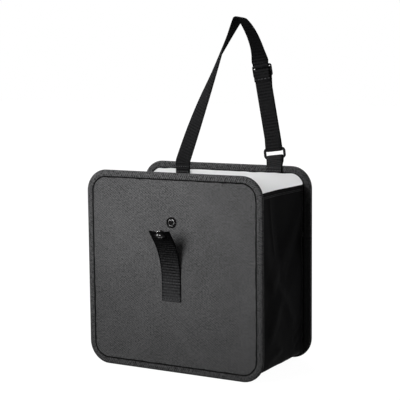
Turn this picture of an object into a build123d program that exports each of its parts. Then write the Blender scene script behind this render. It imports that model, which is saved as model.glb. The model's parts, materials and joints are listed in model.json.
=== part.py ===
"""Foldable car trash bin: two stiff taped panels, a creased cloth gusset, a hanging strap and a snap tab.

Millimetres. The origin is the centre of the back panel's rear face, +Z is up and the front is towards -Y.
"""
import os
from math import atan2, cos, degrees, exp, radians, sin

from build123d import *

# Panels
WIDTH = 230.0
HEIGHT = 230.0
CORNER_RADIUS = 26.0
DEPTH = 129.0            # from the back cover's face to the front cover's face
COVER = 0.7
BOARD = 2.6
FILM = 0.5               # pale lining film
BINDING_LAP = 9.0        # width of edge tape that shows on each face
TAPE = 0.6
TAPE_BEVEL = 1.0         # bevel of the folded tape's outer edges

# Gusset
SEAM_INSET = 10.5        # from the panel's side in to the gusset
FLOOR_INSET = 5.0        # from the panel's bottom up to the gusset's floor, where its seam lies on the tape
GUSSET_BEND = 8.0        # radius of the gusset's lower corners
GUSSET_DROP = 21.0       # from the panel's top down to the gusset's top
GUSSET_CLOTH = 0.8
LINING_GAP = 0.1         # between the gusset's cloth and its lining
HEM = 8.0
HEM_PINCH = 3.0          # how far the middle crease comes in at the hem
SIDE_PINCH = 7.0         # and where it is deepest
CREASE_DROP = 69.0       # from the hem down to the deepest place of the middle crease
FOLD_PEAK = 80.0         # from the floor up to the peak of the inverted V fold
FOLD_RIDGE = 1.6         # how far the V fold stands out
FLANK_SHARE = 0.5        # where a crease's flank bends: 0 is the gusset's middle and 1 is a seam
FOLD_TOP_SHARE = 0.05    # half width of the V fold at its peak, on the same measure
FOLD_FOOT_SHARE = 0.9    # and at the floor
FLOOR_PINCH = 4.0        # how far the floor's middle crease comes up

# Hanging strap, ring tab, ring and slider
STRAP_WIDTH = 20.0
STRAP = 1.3              # thickness of the webbing
STRAP_PLAY = 0.6         # side play of the strap in the ring and in the slider
FOOT_X = -58.0
FOOT_LENGTH = 45.0       # sewn length below the rim
APEX_X = 23.1
APEX_RISE = 175.0        # from the rim up to the top of the strap's middle
APEX_RADIUS = 3.2
LEFT_LEAN = 21.0         # lean of the left run at the rim, from upright
LEFT_ARRIVAL = 34.0      # lean of the left run at the top
LEFT_LOW_SHARE = 0.47    # share of the left run that keeps the lower lean
LEFT_HIGH_SHARE = 0.2    # and the upper lean
LEFT_TWIST_LATE = 1.55   # how late the left run makes its quarter turn: 1 is evenly
TOP_LEAN = 10.0          # how much higher the top fold's front end is, in degrees
RIGHT_LEAVING = 43.0     # lean of the right run at the top
SLOW_TWIST = 24.0        # twist that the right run gains from the top to the slider, in degrees
RIGHT_TWIST_EARLY = 0.5  # how early it gains it: 1 is evenly
TWIST_DECAY = 6.5        # length above the slider in which the rest of its twist fades
RING_X = 68.4
RING_RISE = 14.7         # from the rim up to the ring's centre
RING_TILT = 7.0
RING_BAR = 3.2
RING_SIDE = 2.9
RING_OPENING = 7.2       # height of the ring's hole
TAB_FOOT = 8.0           # sewn length of the ring tab below the rim
SLIDER_X = 52.5
SLIDER_RISE = 111.5
SLIDER_TURN = 7.0        # turn of ring and slider about the strap, towards the right
SLIDER_BAR = 2.6
SLIDER_SLOT = 3.6
SLIDER_SIDE = 1.5
LOOP_SHIFT = 0.4         # how far ring and slider sit to the right of the strap's middle
BAR_THICK = 2.6          # thickness of ring and slider
BAR_BEVEL = 0.5
WRAP_GAP = 0.25          # between webbing and the bar that it goes round
WRAP_TURN = 0.8          # share of that distance that the webbing's bend takes
SEWN_TAIL = 4.7          # end of the strap below the slider, sewn to the strap
RUN_CLOSING = 12.5       # length below the slider in which the strap's two layers come together
RUN_PARTING = 11.0       # and above the ring in which they part
RUN_BEND = 10.0          # radius of those gentle bends
TAIL_BEND = 3.0          # radius of the bends where the end comes over the front layer

# Front tab and snap
TAB_WIDTH = 25.0
WEBBING = 1.3
TAB_X = -1.0
TAB_LOW = -32.0
TAB_SEWN = 23.0
TAB_BEND = 48.0          # how far the tab bends out, in degrees
TAB_LEAN = 9.5           # lean of the bend to the right, in degrees
TAB_TIP = 18.0           # straight end that carries the snap
SNAP_TO_TIP = 6.5
STUD_Z = 58.5
SNAP_RADIUS = 6.25
SNAP_SHANK = 1.7
SNAP_PLAY = 0.05
SNAP_DISC = 0.8
DOME = 2.2
SOCKET_RADIUS = 5.2
SOCKET_DEEP = 3.0
STUD_RIM = 1.2           # height of the stud's raised rim
NUB_RADIUS = 2.8
NUB_RISE = 3.0
NUB_NECK = 1.8           # height of the nub's narrow neck
NUB_CHAMFER = 0.3
NUB_PLAY = 0.2
POST_RADIUS = 5.0

# Sizes that follow from the ones above
STACK = COVER + BOARD + FILM
RIM = HEIGHT / 2
INNER_FACE = -(STACK + TAPE)
SPAN = STRAP_WIDTH + 2 * STRAP_PLAY
SLIDER_PITCH = SLIDER_BAR + SLIDER_SLOT
UP = Vector(0, 0, 1)
RIGHT = Vector(1, 0, 0)
FORWARD = Vector(0, -1, 0)

BACK_PLANE = Plane(origin=(0, 0, 0), x_dir=(-1, 0, 0), z_dir=(0, 1, 0))
FRONT_PLANE = Plane(origin=(0, -DEPTH, 0), x_dir=(1, 0, 0), z_dir=(0, -1, 0))

CURVE_STEPS = 24         # sections along a curved run of webbing
WRAP_STEPS = 4           # sections round a bar


def outline(inset):
    """The panel's rounded square, drawn inset from its edge."""
    return RectangleRounded(WIDTH - 2 * inset, HEIGHT - 2 * inset, CORNER_RADIUS - inset)


def layer(depth, thickness):
    """One sheet of a panel: its outer face lies depth below the cover's face."""
    return Pos(0, 0, -depth - thickness) * extrude(outline(TAPE), thickness)


def binding():
    """Edge tape folded round the panel's stack, with both laps showing."""
    tape = Pos(0, 0, -STACK - TAPE) * extrude(outline(0), STACK + 2 * TAPE)
    flat = tape.faces().sort_by(Axis.Z)
    tape = chamfer(flat[0].edges() + flat[-1].edges(), TAPE_BEVEL)
    window = Pos(0, 0, -STACK - 2 * TAPE) * extrude(outline(BINDING_LAP), STACK + 4 * TAPE)
    return tape - window - layer(0, STACK)


def panel_sheets():
    """Cover, board, lining and binding of a panel, with the cover's face at height 0."""
    return {
        "cover": layer(0, COVER),
        "board": layer(COVER, BOARD),
        "lining": layer(COVER + BOARD, FILM),
        "binding": binding(),
    }


def polygon(*points):
    return Face(Wire.make_polygon(points))


def facets(rows, guide):
    """Flat facets between rows of points, each field split along the guide's shorter diagonal."""
    split = []
    for step in range(len(rows) - 1):
        for field in range(len(rows[step]) - 1):
            corners = [(step, field), (step, field + 1), (step + 1, field + 1), (step + 1, field)]
            a, b, c, d = (guide[row][column] for row, column in corners)
            first = 0 if (a - c).length <= (b - d).length else 1
            a, b, c, d = (rows[row][column] for row, column in corners[first:] + corners[:first])
            split += [polygon(a, b, c), polygon(a, c, d)]
    return split


def cloth(outer, inner, guide):
    """A layer of cloth between two skins of points, closed at its ends and along its edges."""
    faces = facets(outer, guide) + facets(inner, guide)
    for end in (0, -1):
        faces.append(polygon(*outer[end], *inner[end][::-1]))
    for side in (0, -1):
        edge = [(out[side], into[side]) for out, into in zip(outer, inner)]
        faces += facets(edge, edge)
    return Solid(Shell(faces))


def gusset_section(at, inward, pinches, seam):
    """Points across the strip, front seam to back: a pinch is a place (-1 to 1) and a depth inwards.

    The seams lie at a depth below the covers' faces.
    """
    middle, half = -DEPTH / 2, DEPTH / 2 - seam
    return [Vector(*at) + Vector(0, middle + place * half, 0) + inward * depth for place, depth in pinches]


def creased(place, flank, middle):
    """Pinches of one section: the flanks at +-place, the middle between them, nothing at the seams."""
    return [(-1, 0), (-place, flank), (0, middle), (place, flank), (1, 0)]


def side_pinches(z):
    """Creases of a side wall at a height: a middle crease above, an inverted V fold below it."""
    top, floor = RIM - GUSSET_DROP, FLOOR_INSET - RIM
    deepest, peak = top - CREASE_DROP, floor + FOLD_PEAK
    if z >= deepest:
        depth = HEM_PINCH + (SIDE_PINCH - HEM_PINCH) * (top - z) / CREASE_DROP
        return creased(FLANK_SHARE, depth * (1 - FLANK_SHARE), depth)
    if z >= peak:
        share = (z - peak) / (deepest - peak)
        depth = SIDE_PINCH * share - FOLD_RIDGE * (1 - share)
        place = FOLD_TOP_SHARE + (FLANK_SHARE - FOLD_TOP_SHARE) * share
        return creased(place, depth * (1 - place * share), depth)
    share = (peak - z) / (FOLD_PEAK - GUSSET_BEND)
    ridge = -FOLD_RIDGE * (1 - share)
    return creased(FOLD_TOP_SHARE + (FOLD_FOOT_SHARE - FOLD_TOP_SHARE) * share, ridge, ridge)


def floor_pinches(share):
    """Crease of the floor: share is 0 at a corner and 1 in the middle."""
    depth = FLOOR_PINCH * share
    place = FOLD_FOOT_SHARE + (FLANK_SHARE - FOLD_FOOT_SHARE) * share
    return creased(place, depth * (1 - place), depth)


def gusset_stations():
    """Place, inward direction, creases and seam of each section, from the right hem round to the left hem.

    The upper seams lie on the panels' film, and those of the corners and the floor on their tape.
    """
    side, floor, bend = WIDTH / 2 - SEAM_INSET, FLOOR_INSET - RIM, GUSSET_BEND
    top, corner = RIM - GUSSET_DROP, CORNER_RADIUS - RIM
    on_film, on_tape = STACK, STACK + TAPE
    heights = [(top, on_film), (top - HEM, on_film), (top - CREASE_DROP, on_film),
               (floor + FOLD_PEAK, on_film), (corner, on_tape), (floor + bend, on_tape)]
    right = [((side, 0, z), -RIGHT, side_pinches(z), seam) for z, seam in heights]
    for step in range(1, 5):
        turn = radians(90 * step / 4)
        inward = Vector(-cos(turn), 0, sin(turn))
        centre = Vector(side - bend, 0, floor + bend)
        right.append((tuple(centre - inward * bend), inward, floor_pinches(0), on_tape))
    right.append((((side - bend) / 2, 0, floor), UP, floor_pinches(0.5), on_tape))
    left = [((-x, y, z), Vector(-n.X, n.Y, n.Z), pinches, seam)
            for (x, y, z), n, pinches, seam in reversed(right)]
    return right + [((0, 0, floor), UP, floor_pinches(1), on_tape)] + left


def gusset_rows(depth):
    """Points of the gusset's sections at a depth inside its outer face."""
    return [gusset_section(at, inward, [(place, pinch + depth) for place, pinch in pinches], seam)
            for at, inward, pinches, seam in gusset_stations()]


def gusset_layer(depth, thickness):
    """One cloth layer of the gusset, its outer face lying depth inside the gusset's own outer face."""
    return cloth(gusset_rows(depth), gusset_rows(depth + thickness), gusset_rows(0))


def ribbon(runs, width, thickness):
    """Webbing along runs, which are pairs of an edge and a function that gives the direction across."""
    sections = []
    for edge, across in runs:
        if edge.geom_type == GeomType.LINE:
            steps = 1
        else:
            steps = CURVE_STEPS if edge.geom_type == GeomType.BEZIER else WRAP_STEPS
        places = [step / steps for step in range(steps)]
        sections += [(edge, across, place) for place in places]
    sections.append((*runs[-1], 1.0))
    outer, inner = [], []
    for edge, across, place in sections:
        plane = Plane(edge @ place, x_dir=across(place), z_dir=edge % place)
        for skin, height in ((outer, thickness / 2), (inner, -thickness / 2)):
            skin.append([plane.from_local_coords(Vector(side, height)) for side in (-width / 2, width / 2)])
    return cloth(outer, inner, outer)


def run_frame(x, rise, tilt):
    """A frame for ring or slider: x along the bars, y up the strap, z to the front."""
    along = Vector(cos(radians(tilt)), 0, sin(radians(tilt)))
    normal = FORWARD * cos(radians(SLIDER_TURN)) + along * sin(radians(SLIDER_TURN))
    across = along * cos(radians(SLIDER_TURN)) - FORWARD * sin(radians(SLIDER_TURN))
    return Plane(origin=(x, INNER_FACE - STRAP, RIM + rise), x_dir=across, z_dir=normal)


def ring_frame():
    return run_frame(RING_X, RING_RISE, RING_TILT)


def slider_frame():
    """The slider lies square to the strap's doubled run."""
    lean = degrees(atan2(RING_X - SLIDER_X, SLIDER_RISE - RING_RISE))
    return run_frame(SLIDER_X, SLIDER_RISE, lean)


def bars(openings, side, bar):
    """A flat loop with openings one above the other, its edges bevelled."""
    height = sum(openings) + bar * (len(openings) + 1)
    face = RectangleRounded(SPAN + 2 * side, height, side + bar / 2)
    plate = Pos(0, 0, -BAR_THICK / 2) * extrude(face, BAR_THICK)
    low = -height / 2 + bar
    for opening in openings:
        hole = RectangleRounded(SPAN, opening, bar / 4)
        plate -= Pos(0, low + opening / 2, -BAR_THICK) * extrude(hole, 2 * BAR_THICK)
        low += opening + bar
    flat = [face for face in plate.faces() if abs(face.normal_at().Z) > 0.99]
    return chamfer([edge for face in flat for edge in face.edges()], BAR_BEVEL)


def strap_top():
    """The strap's left run, top fold and right run, down to the slider."""
    centre = Vector(APEX_X, INNER_FACE - STRAP / 2, RIM + APEX_RISE - APEX_RADIUS - STRAP / 2)
    arrive, leave = radians(LEFT_ARRIVAL), radians(RIGHT_LEAVING)
    rise_way = Vector(sin(arrive), 0, cos(arrive))
    fall_way = Vector(sin(leave), 0, -cos(leave))
    peak_in = centre + Vector(-cos(arrive), 0, sin(arrive)) * APEX_RADIUS
    peak_out = centre + Vector(cos(leave), 0, sin(leave)) * APEX_RADIUS
    rim = Vector(FOOT_X, centre.Y, RIM)
    lean = radians(LEFT_LEAN)
    chord = (peak_in - rim).length
    foot = Line(rim - UP * FOOT_LENGTH, rim)
    left = Bezier(rim, rim + Vector(sin(lean), 0, cos(lean)) * chord * LEFT_LOW_SHARE,
                  peak_in - rise_way * chord * LEFT_HIGH_SHARE, peak_in)
    fold = ThreePointArc(peak_in, centre + UP * APEX_RADIUS, peak_out)
    slider = slider_frame()
    entry = slider.from_local_coords(Vector(0, SLIDER_PITCH + SLIDER_BAR, slider_front()))
    reach = (peak_out - entry).length / 3
    right = Bezier(peak_out, peak_out + fall_way * reach, entry + slider.y_dir * reach, entry)

    def turned(edge, share, turn):
        """Direction across an edge: 0 lies in the loop's own plane and 90 points to the front."""
        way = edge % share
        return Vector(way.Z, 0, -way.X) * cos(radians(turn)) + FORWARD * sin(radians(turn))

    def left_across(share):
        return turned(left, share, (90 + TOP_LEAN) * share ** LEFT_TWIST_LATE)

    def fold_across(share):
        return turned(fold, share, 90 + TOP_LEAN * (1 - share))

    def right_across(share):
        quick = (90 - SLIDER_TURN - SLOW_TWIST) * exp(-(1 - share) * right.length / TWIST_DECAY)
        return turned(right, share, 90 - SLOW_TWIST * share ** RIGHT_TWIST_EARLY - quick)

    return [(foot, lambda share: RIGHT), (left, left_across), (fold, fold_across), (right, right_across)]


def slider_front():
    """Height of the strap's middle over the slider's middle where the strap passes in front of a bar."""
    return BAR_THICK / 2 + WRAP_GAP + STRAP / 2


def strap_low():
    """The strap from the slider's top bar down behind, round the ring, up and round the middle bar."""
    slider, ring = slider_frame(), ring_frame()
    front = slider_front()
    layer_step = STRAP + 2 * WRAP_GAP
    wrap = RING_BAR / 2 + WRAP_GAP + STRAP / 2
    ring_bar = (RING_OPENING + RING_BAR) / 2
    slot = SLIDER_BAR / 2 + SLIDER_SLOT - STRAP / 2 - WRAP_GAP
    loop = SLIDER_BAR / 2 + WRAP_GAP + STRAP / 2
    low_edge = SLIDER_PITCH + SLIDER_BAR / 2
    parting = RING_OPENING / 2 + RING_BAR + RUN_PARTING

    def at_slider(up, out):
        return slider.from_local_coords(Vector(0, up, out))

    def at_ring(up, out):
        return ring.from_local_coords(Vector(0, up, out))

    tight, turn = STRAP, wrap * WRAP_TURN
    corners = [
        (at_slider(SLIDER_PITCH + SLIDER_BAR, front), 0),
        (at_slider(slot, front), tight),
        (at_slider(slot, -front - layer_step), tight),
        (at_slider(-SLIDER_PITCH, -front - layer_step), RUN_BEND),
        (at_slider(-low_edge - RUN_CLOSING, front - layer_step), RUN_BEND),
        (at_ring(parting, -layer_step / 2), RUN_BEND),
        (at_ring(ring_bar - wrap, -wrap), turn),
        (at_ring(ring_bar - wrap, wrap), turn),
        (at_ring(parting, layer_step / 2), RUN_BEND),
        (at_slider(-slot, front), tight),
        (at_slider(-slot, -front), tight),
        (at_slider(loop, -front), loop * WRAP_TURN),
        (at_slider(loop, front), loop * WRAP_TURN),
        (at_slider(-STRAP / 2, front), TAIL_BEND),
        (at_slider(-slot, front + layer_step), TAIL_BEND),
        (at_slider(-low_edge - SEWN_TAIL, front + layer_step), 0),
    ]
    return FilletPolyline(*[point for point, _ in corners], radius=[radius for _, radius in corners[1:-1]])


def turning(edge, low, low_way, high, high_way):
    """Direction across a run that turns with height, from the low way to the high way."""
    def across(place):
        share = min(1, max(0, ((edge @ place).Z - low) / (high - low)))
        return low_way * (1 - share) + high_way * share
    return across


def hanging_strap():
    """One webbing from its sewn foot to the end that is sewn below the slider."""
    slider, ring = slider_frame(), ring_frame()
    low = ring.origin.Z + RING_OPENING / 2 + RING_BAR + STRAP
    high = slider.origin.Z - SLIDER_PITCH - SLIDER_BAR - SEWN_TAIL - STRAP
    runs = strap_top()
    for edge in strap_low().order_edges():
        runs.append((edge, turning(edge, low, -ring.x_dir, high, -slider.x_dir)))
    return ribbon(runs, STRAP_WIDTH, STRAP)


def ring_tab():
    """Short webbing loop: both legs sewn inside the back panel, the fold round the ring's lower bar."""
    ring = ring_frame()
    wrap = RING_BAR / 2 + WRAP_GAP + STRAP / 2
    bar = -(RING_OPENING + RING_BAR) / 2
    rear = Vector(RING_X, INNER_FACE - STRAP / 2, RIM)
    front = rear + FORWARD * (STRAP + WRAP_GAP)
    corners = [
        rear - UP * TAB_FOOT,
        rear,
        ring.from_local_coords(Vector(0, bar - wrap, -wrap)),
        ring.from_local_coords(Vector(0, bar + wrap, -wrap)),
        ring.from_local_coords(Vector(0, bar + wrap, wrap)),
        ring.from_local_coords(Vector(0, bar - wrap, wrap)),
        front,
        front - UP * TAB_FOOT,
    ]
    path = FilletPolyline(*corners, radius=[STRAP, STRAP, wrap * WRAP_TURN, wrap * WRAP_TURN, STRAP, STRAP])
    low, high = RIM + STRAP / 2, corners[2].Z - STRAP / 2
    runs = [(edge, turning(edge, low, RIGHT, high, ring.x_dir)) for edge in path.order_edges()]
    return ribbon(runs, STRAP_WIDTH, STRAP)


def tab_path():
    """The tab's middle line: sewn stretch, bend outwards, straight tip."""
    lean, bend = radians(TAB_LEAN), radians(TAB_BEND)
    free = STUD_Z - TAB_LOW - TAB_SEWN + SNAP_TO_TIP
    radius = (free - TAB_TIP) / bend
    out = Vector(sin(lean), -cos(lean), 0)
    low = Vector(TAB_X, -DEPTH - WEBBING / 2, TAB_LOW)
    sewn = low + UP * TAB_SEWN
    half = sewn + out * radius * (1 - cos(bend / 2)) + UP * radius * sin(bend / 2)
    full = sewn + out * radius * (1 - cos(bend)) + UP * radius * sin(bend)
    tip = full + (out * sin(bend) + UP * cos(bend)) * TAB_TIP
    return Line(low, sewn), ThreePointArc(sewn, half, full), Line(full, tip)


def tab_snap_plane():
    """Plane of the tab's middle at its snap, facing outwards."""
    tip = tab_path()[2]
    across = Vector(cos(radians(TAB_LEAN)), sin(radians(TAB_LEAN)), 0)
    way = tip % 0
    return Plane(origin=tip @ (1 - SNAP_TO_TIP / TAB_TIP), x_dir=across, z_dir=across.cross(way))


def front_tab():
    """Webbing tab with the hole for its snap."""
    sewn, bend, tip = tab_path()
    turned_across = Vector(cos(radians(TAB_LEAN)), sin(radians(TAB_LEAN)), 0)
    turning_across = turning(bend, (bend @ 0).Z, RIGHT, (bend @ 1).Z, turned_across)
    runs = [(sewn, lambda share: RIGHT), (bend, turning_across), (tip, lambda share: turned_across)]
    hole = tab_snap_plane() * Cylinder(SNAP_SHANK + SNAP_PLAY, 4 * WEBBING)
    return ribbon(runs, TAB_WIDTH, WEBBING) - hole


def turned_profile(*points):
    """A turned piece from its half section: pairs of radius and height."""
    return revolve(make_face(Plane.XZ * Polyline(*points, close=True)), Axis.Z)


def snap_cap():
    """Domed cap with its shank, over the webbing's outer face at height 0."""
    rise = DOME - SNAP_DISC
    sphere = (SNAP_RADIUS ** 2 + rise ** 2) / (2 * rise)
    half = atan2(SNAP_RADIUS, sphere - rise) / 2
    middle = (sphere * sin(half), DOME - sphere * (1 - cos(half)))
    dome = Plane.XZ * (
        Polyline((0, DOME), (0, 0), (SNAP_RADIUS, 0), (SNAP_RADIUS, SNAP_DISC))
        + ThreePointArc((SNAP_RADIUS, SNAP_DISC), middle, (0, DOME))
    )
    shank = WEBBING + SNAP_DISC
    return revolve(make_face(dome), Axis.Z) + Pos(0, 0, -shank / 2) * Cylinder(SNAP_SHANK, shank)


def snap_socket():
    """Open socket that takes the stud's nub, under the webbing's inner face at height 0."""
    grip = NUB_RADIUS + NUB_PLAY
    hole = SNAP_SHANK + SNAP_PLAY
    return turned_profile((hole, 0), (SOCKET_RADIUS, 0), (SOCKET_RADIUS, -SOCKET_DEEP), (grip, -SOCKET_DEEP),
                          (grip, -SNAP_DISC), (hole, -SNAP_DISC))


def snap_stud():
    """Flange and nub of the stud, on the front cover's face at height 0."""
    hole = SNAP_SHANK + SNAP_PLAY
    waist = NUB_RADIUS - NUB_PLAY
    return turned_profile((hole, 0), (SNAP_RADIUS, 0), (SNAP_RADIUS, STUD_RIM),
                          (SNAP_RADIUS - SNAP_DISC, STUD_RIM), (SNAP_RADIUS - 2 * SNAP_DISC, SNAP_DISC),
                          (waist, SNAP_DISC), (waist, NUB_NECK),
                          (NUB_RADIUS, NUB_NECK + NUB_CHAMFER), (NUB_RADIUS, NUB_RISE - NUB_CHAMFER),
                          (waist, NUB_RISE), (hole, NUB_RISE))


def snap_post():
    """Rivet of the stud: a disc inside the bin and a shank through the panel."""
    shank = STACK + NUB_RISE
    disc = Pos(0, 0, -STACK - SNAP_DISC / 2) * Cylinder(POST_RADIUS, SNAP_DISC)
    return disc + Pos(0, 0, -STACK + shank / 2) * Cylinder(SNAP_SHANK, shank)


def build():
    parts = {}
    for side, plane in (("back", BACK_PLANE), ("front", FRONT_PLANE)):
        for sheet, solid in panel_sheets().items():
            parts[f"{side}_{sheet}"] = plane * solid
    stud_plane = FRONT_PLANE * Pos(0, STUD_Z, 0)
    stud_hole = stud_plane * Cylinder(SNAP_SHANK + SNAP_PLAY, 4 * STACK)
    for sheet in ("cover", "board", "lining"):
        parts[f"front_{sheet}"] -= stud_hole
    parts["gusset"] = gusset_layer(0, GUSSET_CLOTH)
    parts["gusset_lining"] = gusset_layer(GUSSET_CLOTH + LINING_GAP, FILM)
    parts["hanging_strap"] = hanging_strap()
    parts["ring_tab"] = ring_tab()
    shift = Pos(LOOP_SHIFT, 0, 0)
    parts["ring"] = ring_frame() * shift * bars([RING_OPENING], RING_SIDE, RING_BAR)
    parts["slider"] = slider_frame() * shift * bars([SLIDER_SLOT, SLIDER_SLOT], SLIDER_SIDE, SLIDER_BAR)
    parts["front_tab"] = front_tab()
    snap = tab_snap_plane()
    parts["snap_cap"] = snap * Pos(0, 0, WEBBING / 2) * snap_cap()
    parts["snap_socket"] = snap * Pos(0, 0, -WEBBING / 2) * snap_socket()
    parts["snap_stud"] = stud_plane * snap_stud()
    parts["snap_post"] = stud_plane * snap_post()
    return parts


os.makedirs("parts", exist_ok=True)
for name, solid in build().items():
    export_step(solid, f"parts/{name}.step")
    print(f"{name}: {solid.volume / 1000:.2f} cm3")
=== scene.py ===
# %% [markdown]
# # A folding car trash bin
# This script dresses a finished solid model of a bin that hangs in a car: two stiff panels in grey cloth
# with taped edges, a soft black gusset between them, a pale film lining, a webbing strap to hang it by and
# a snap tab on the front. The solid model is a fixed frame. Every piece here is made in metres in that same
# frame, sits where its solid sits, and all but the strap's right run move with one of the frame's bodies.

# %% Load the frame
import json
import math

import bmesh
import bpy
import numpy as np
from mathutils import Matrix, Vector


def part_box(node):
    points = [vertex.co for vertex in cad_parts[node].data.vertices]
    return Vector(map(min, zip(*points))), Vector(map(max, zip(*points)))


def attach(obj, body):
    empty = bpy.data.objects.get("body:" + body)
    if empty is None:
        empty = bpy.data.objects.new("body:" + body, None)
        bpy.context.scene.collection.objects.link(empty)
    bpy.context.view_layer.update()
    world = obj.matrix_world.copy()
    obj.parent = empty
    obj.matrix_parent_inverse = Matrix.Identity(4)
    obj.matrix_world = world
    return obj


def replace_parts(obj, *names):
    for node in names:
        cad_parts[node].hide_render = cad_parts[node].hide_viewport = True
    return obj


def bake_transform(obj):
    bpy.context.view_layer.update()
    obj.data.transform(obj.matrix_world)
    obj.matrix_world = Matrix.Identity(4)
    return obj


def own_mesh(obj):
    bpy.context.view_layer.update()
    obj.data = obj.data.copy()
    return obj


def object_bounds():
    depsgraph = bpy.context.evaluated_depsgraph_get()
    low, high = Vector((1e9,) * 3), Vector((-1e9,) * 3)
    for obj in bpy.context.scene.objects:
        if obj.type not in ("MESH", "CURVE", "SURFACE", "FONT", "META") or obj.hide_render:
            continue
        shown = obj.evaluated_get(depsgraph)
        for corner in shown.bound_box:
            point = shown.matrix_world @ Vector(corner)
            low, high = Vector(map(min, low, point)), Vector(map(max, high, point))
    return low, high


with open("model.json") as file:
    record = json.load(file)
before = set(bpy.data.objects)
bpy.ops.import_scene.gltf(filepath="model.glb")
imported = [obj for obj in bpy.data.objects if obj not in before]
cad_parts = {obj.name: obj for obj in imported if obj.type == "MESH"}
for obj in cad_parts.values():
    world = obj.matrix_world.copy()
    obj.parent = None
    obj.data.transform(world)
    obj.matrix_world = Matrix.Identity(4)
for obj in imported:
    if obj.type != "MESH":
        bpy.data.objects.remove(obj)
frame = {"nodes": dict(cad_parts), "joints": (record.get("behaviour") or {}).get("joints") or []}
cad_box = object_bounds()
print("frame:", len(frame["nodes"]), "nodes in a box from", tuple(cad_box[0]), "to", tuple(cad_box[1]))

# %% [markdown]
# ## The camera
# The photograph looks at the bin from its right and a little from above, through a long lens. A camera
# could be aimed with a constraint, but three turns and one place are easier to read, and they can be
# checked against the photograph's straight edges.

# %% Place the camera
YAW, PITCH, ROLL = (math.radians(angle) for angle in (29.87, 7.01, -0.57))
LENS_MM = 108.59
EYE = Vector((0.6993, -1.2818, 0.2496))
BIN_MIDDLE = Vector((0, -0.065, 0.08))


def add_object(name, data):
    made = bpy.data.objects.new(name, data)
    bpy.context.collection.objects.link(made)
    return made


def place_camera():
    away = Vector((math.sin(YAW) * math.cos(PITCH), -math.cos(YAW) * math.cos(PITCH), math.sin(PITCH)))
    level = Vector((math.cos(YAW), math.sin(YAW), 0))
    upright = away.cross(level)
    right = level * math.cos(ROLL) + upright * math.sin(ROLL)
    up = upright * math.cos(ROLL) - level * math.sin(ROLL)
    camera = add_object("camera", bpy.data.cameras.new("camera"))
    camera.data.lens = LENS_MM
    camera.matrix_world = Matrix.Translation(EYE) @ Matrix((right, up, away)).transposed().to_4x4()
    bpy.context.scene.camera = camera


place_camera()
bpy.context.scene.view_settings.view_transform = "Standard"
print("camera", round((EYE - BIN_MIDDLE).length, 3), "m from the bin")

# %% [markdown]
# ## Shader maths as Python
# A fabric's weave is arithmetic on the cloth's own coordinates. Clicking that together as nodes hides the
# sums, so one small class wraps a socket: an operator on it adds a Math node, and its node method adds any
# other node. The same method serves the tree that places stitches.

# %% Wrap a socket
class Wire:
    """One value in a node tree, or without a socket a tree's start. Operators on it add Math nodes."""

    def __init__(self, tree, socket=None):
        self.tree = tree
        self.socket = socket

    def node(self, kind, settings=None, inputs=None, output=0):
        """Adds a node: first its settings, then the values or wires of its sockets."""
        made = self.tree.nodes.new(kind)
        for name, value in (settings or {}).items():
            setattr(made, name, value)
        for name, value in (inputs or {}).items():
            self.feed(made.inputs[name], value)
        return Wire(self.tree, made.outputs[output])

    def also(self, output):
        """Another output of the node that this value comes from."""
        return Wire(self.tree, self.socket.node.outputs[output])

    def feed(self, socket, value):
        """Links a wire to a socket, or sets the socket's own value."""
        if isinstance(value, Wire):
            self.tree.links.new(value.socket, socket)
        else:
            socket.default_value = value

    def math(self, operation, *values):
        return self.node("ShaderNodeMath", {"operation": operation}, dict(enumerate(values)))

    def __add__(self, other):
        return self.math("ADD", self, other)

    def __radd__(self, other):
        return self.math("ADD", other, self)

    def __sub__(self, other):
        return self.math("SUBTRACT", self, other)

    def __rsub__(self, other):
        return self.math("SUBTRACT", other, self)

    def __mul__(self, other):
        return self.math("MULTIPLY", self, other)

    def __rmul__(self, other):
        return self.math("MULTIPLY", other, self)

    def wave(self, pitch, power=1.0):
        """A ripple from 0 to 1 that repeats every pitch, narrowed to its crests by a power."""
        turn = self * (2 * math.pi / pitch)
        ripple = turn.math("SINE", turn) * 0.5 + 0.5
        return ripple if power == 1.0 else ripple.math("POWER", ripple, power)

    def noise(self, scale, detail=2.0, roughness=0.5):
        """Soft noise from 0 to 1 at a place, with its features per metre given by scale."""
        return self.node("ShaderNodeTexNoise", None,
                         {"Vector": self, "Scale": scale, "Detail": detail, "Roughness": roughness})

    def bell(self, middle, width):
        """1 where this value is a given middle, falling off smoothly over a width to both sides."""
        off = (self - middle) * (1 / width)
        return off.math("EXPONENT", off * off * -1.0)

    def between(self, dark, light):
        """A colour between two, by this value from 0 to 1."""
        return self.node("ShaderNodeMix", {"data_type": "RGBA", "clamp_factor": True},
                         {0: self, 6: (*dark, 1), 7: (*light, 1)}, output=2)

    def bump(self, distance, strength=1.0):
        """A surface normal from this height, from 0 to 1, over a distance in metres."""
        return self.node("ShaderNodeBump", None,
                         {"Strength": strength, "Distance": distance, "Height": self})


print("Wire ready")

# %% [markdown]
# ## Starting a finish
# Cloth gets its pattern from a UV map that holds flat cloth coordinates in metres, so the weave follows
# folds and twists. Moulded and turned pieces read Object coordinates. Values that are the same all over a
# piece are set straight on the shader's sockets, and only what varies is linked.

# %% Start a finish
class Finish:
    """A material with its Principled shader and the coordinates that its pattern is written in."""

    def __init__(self, name, constants):
        self.material = bpy.data.materials.new(name)
        self.material.use_nodes = True
        self.tree = self.material.node_tree
        self.shader = self.tree.nodes["Principled BSDF"]
        for socket, value in constants.items():
            self.shader.inputs[socket].default_value = value
        self.place = Wire(self.tree).node("ShaderNodeTexCoord", output="Object")

    def flat(self):
        """The cloth's own coordinates: across, along, and both as one vector."""
        both = self.place.node("ShaderNodeUVMap", {"uv_map": "flat"})
        across = both.node("ShaderNodeSeparateXYZ", None, {0: both})
        return across, across.also(1), both

    def show(self, **wires):
        """Links wires to the shader's sockets, named with underscores for spaces."""
        for name, wire in wires.items():
            wire.feed(self.shader.inputs[name.replace("_", " ")], wire)
        return self.material


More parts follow.
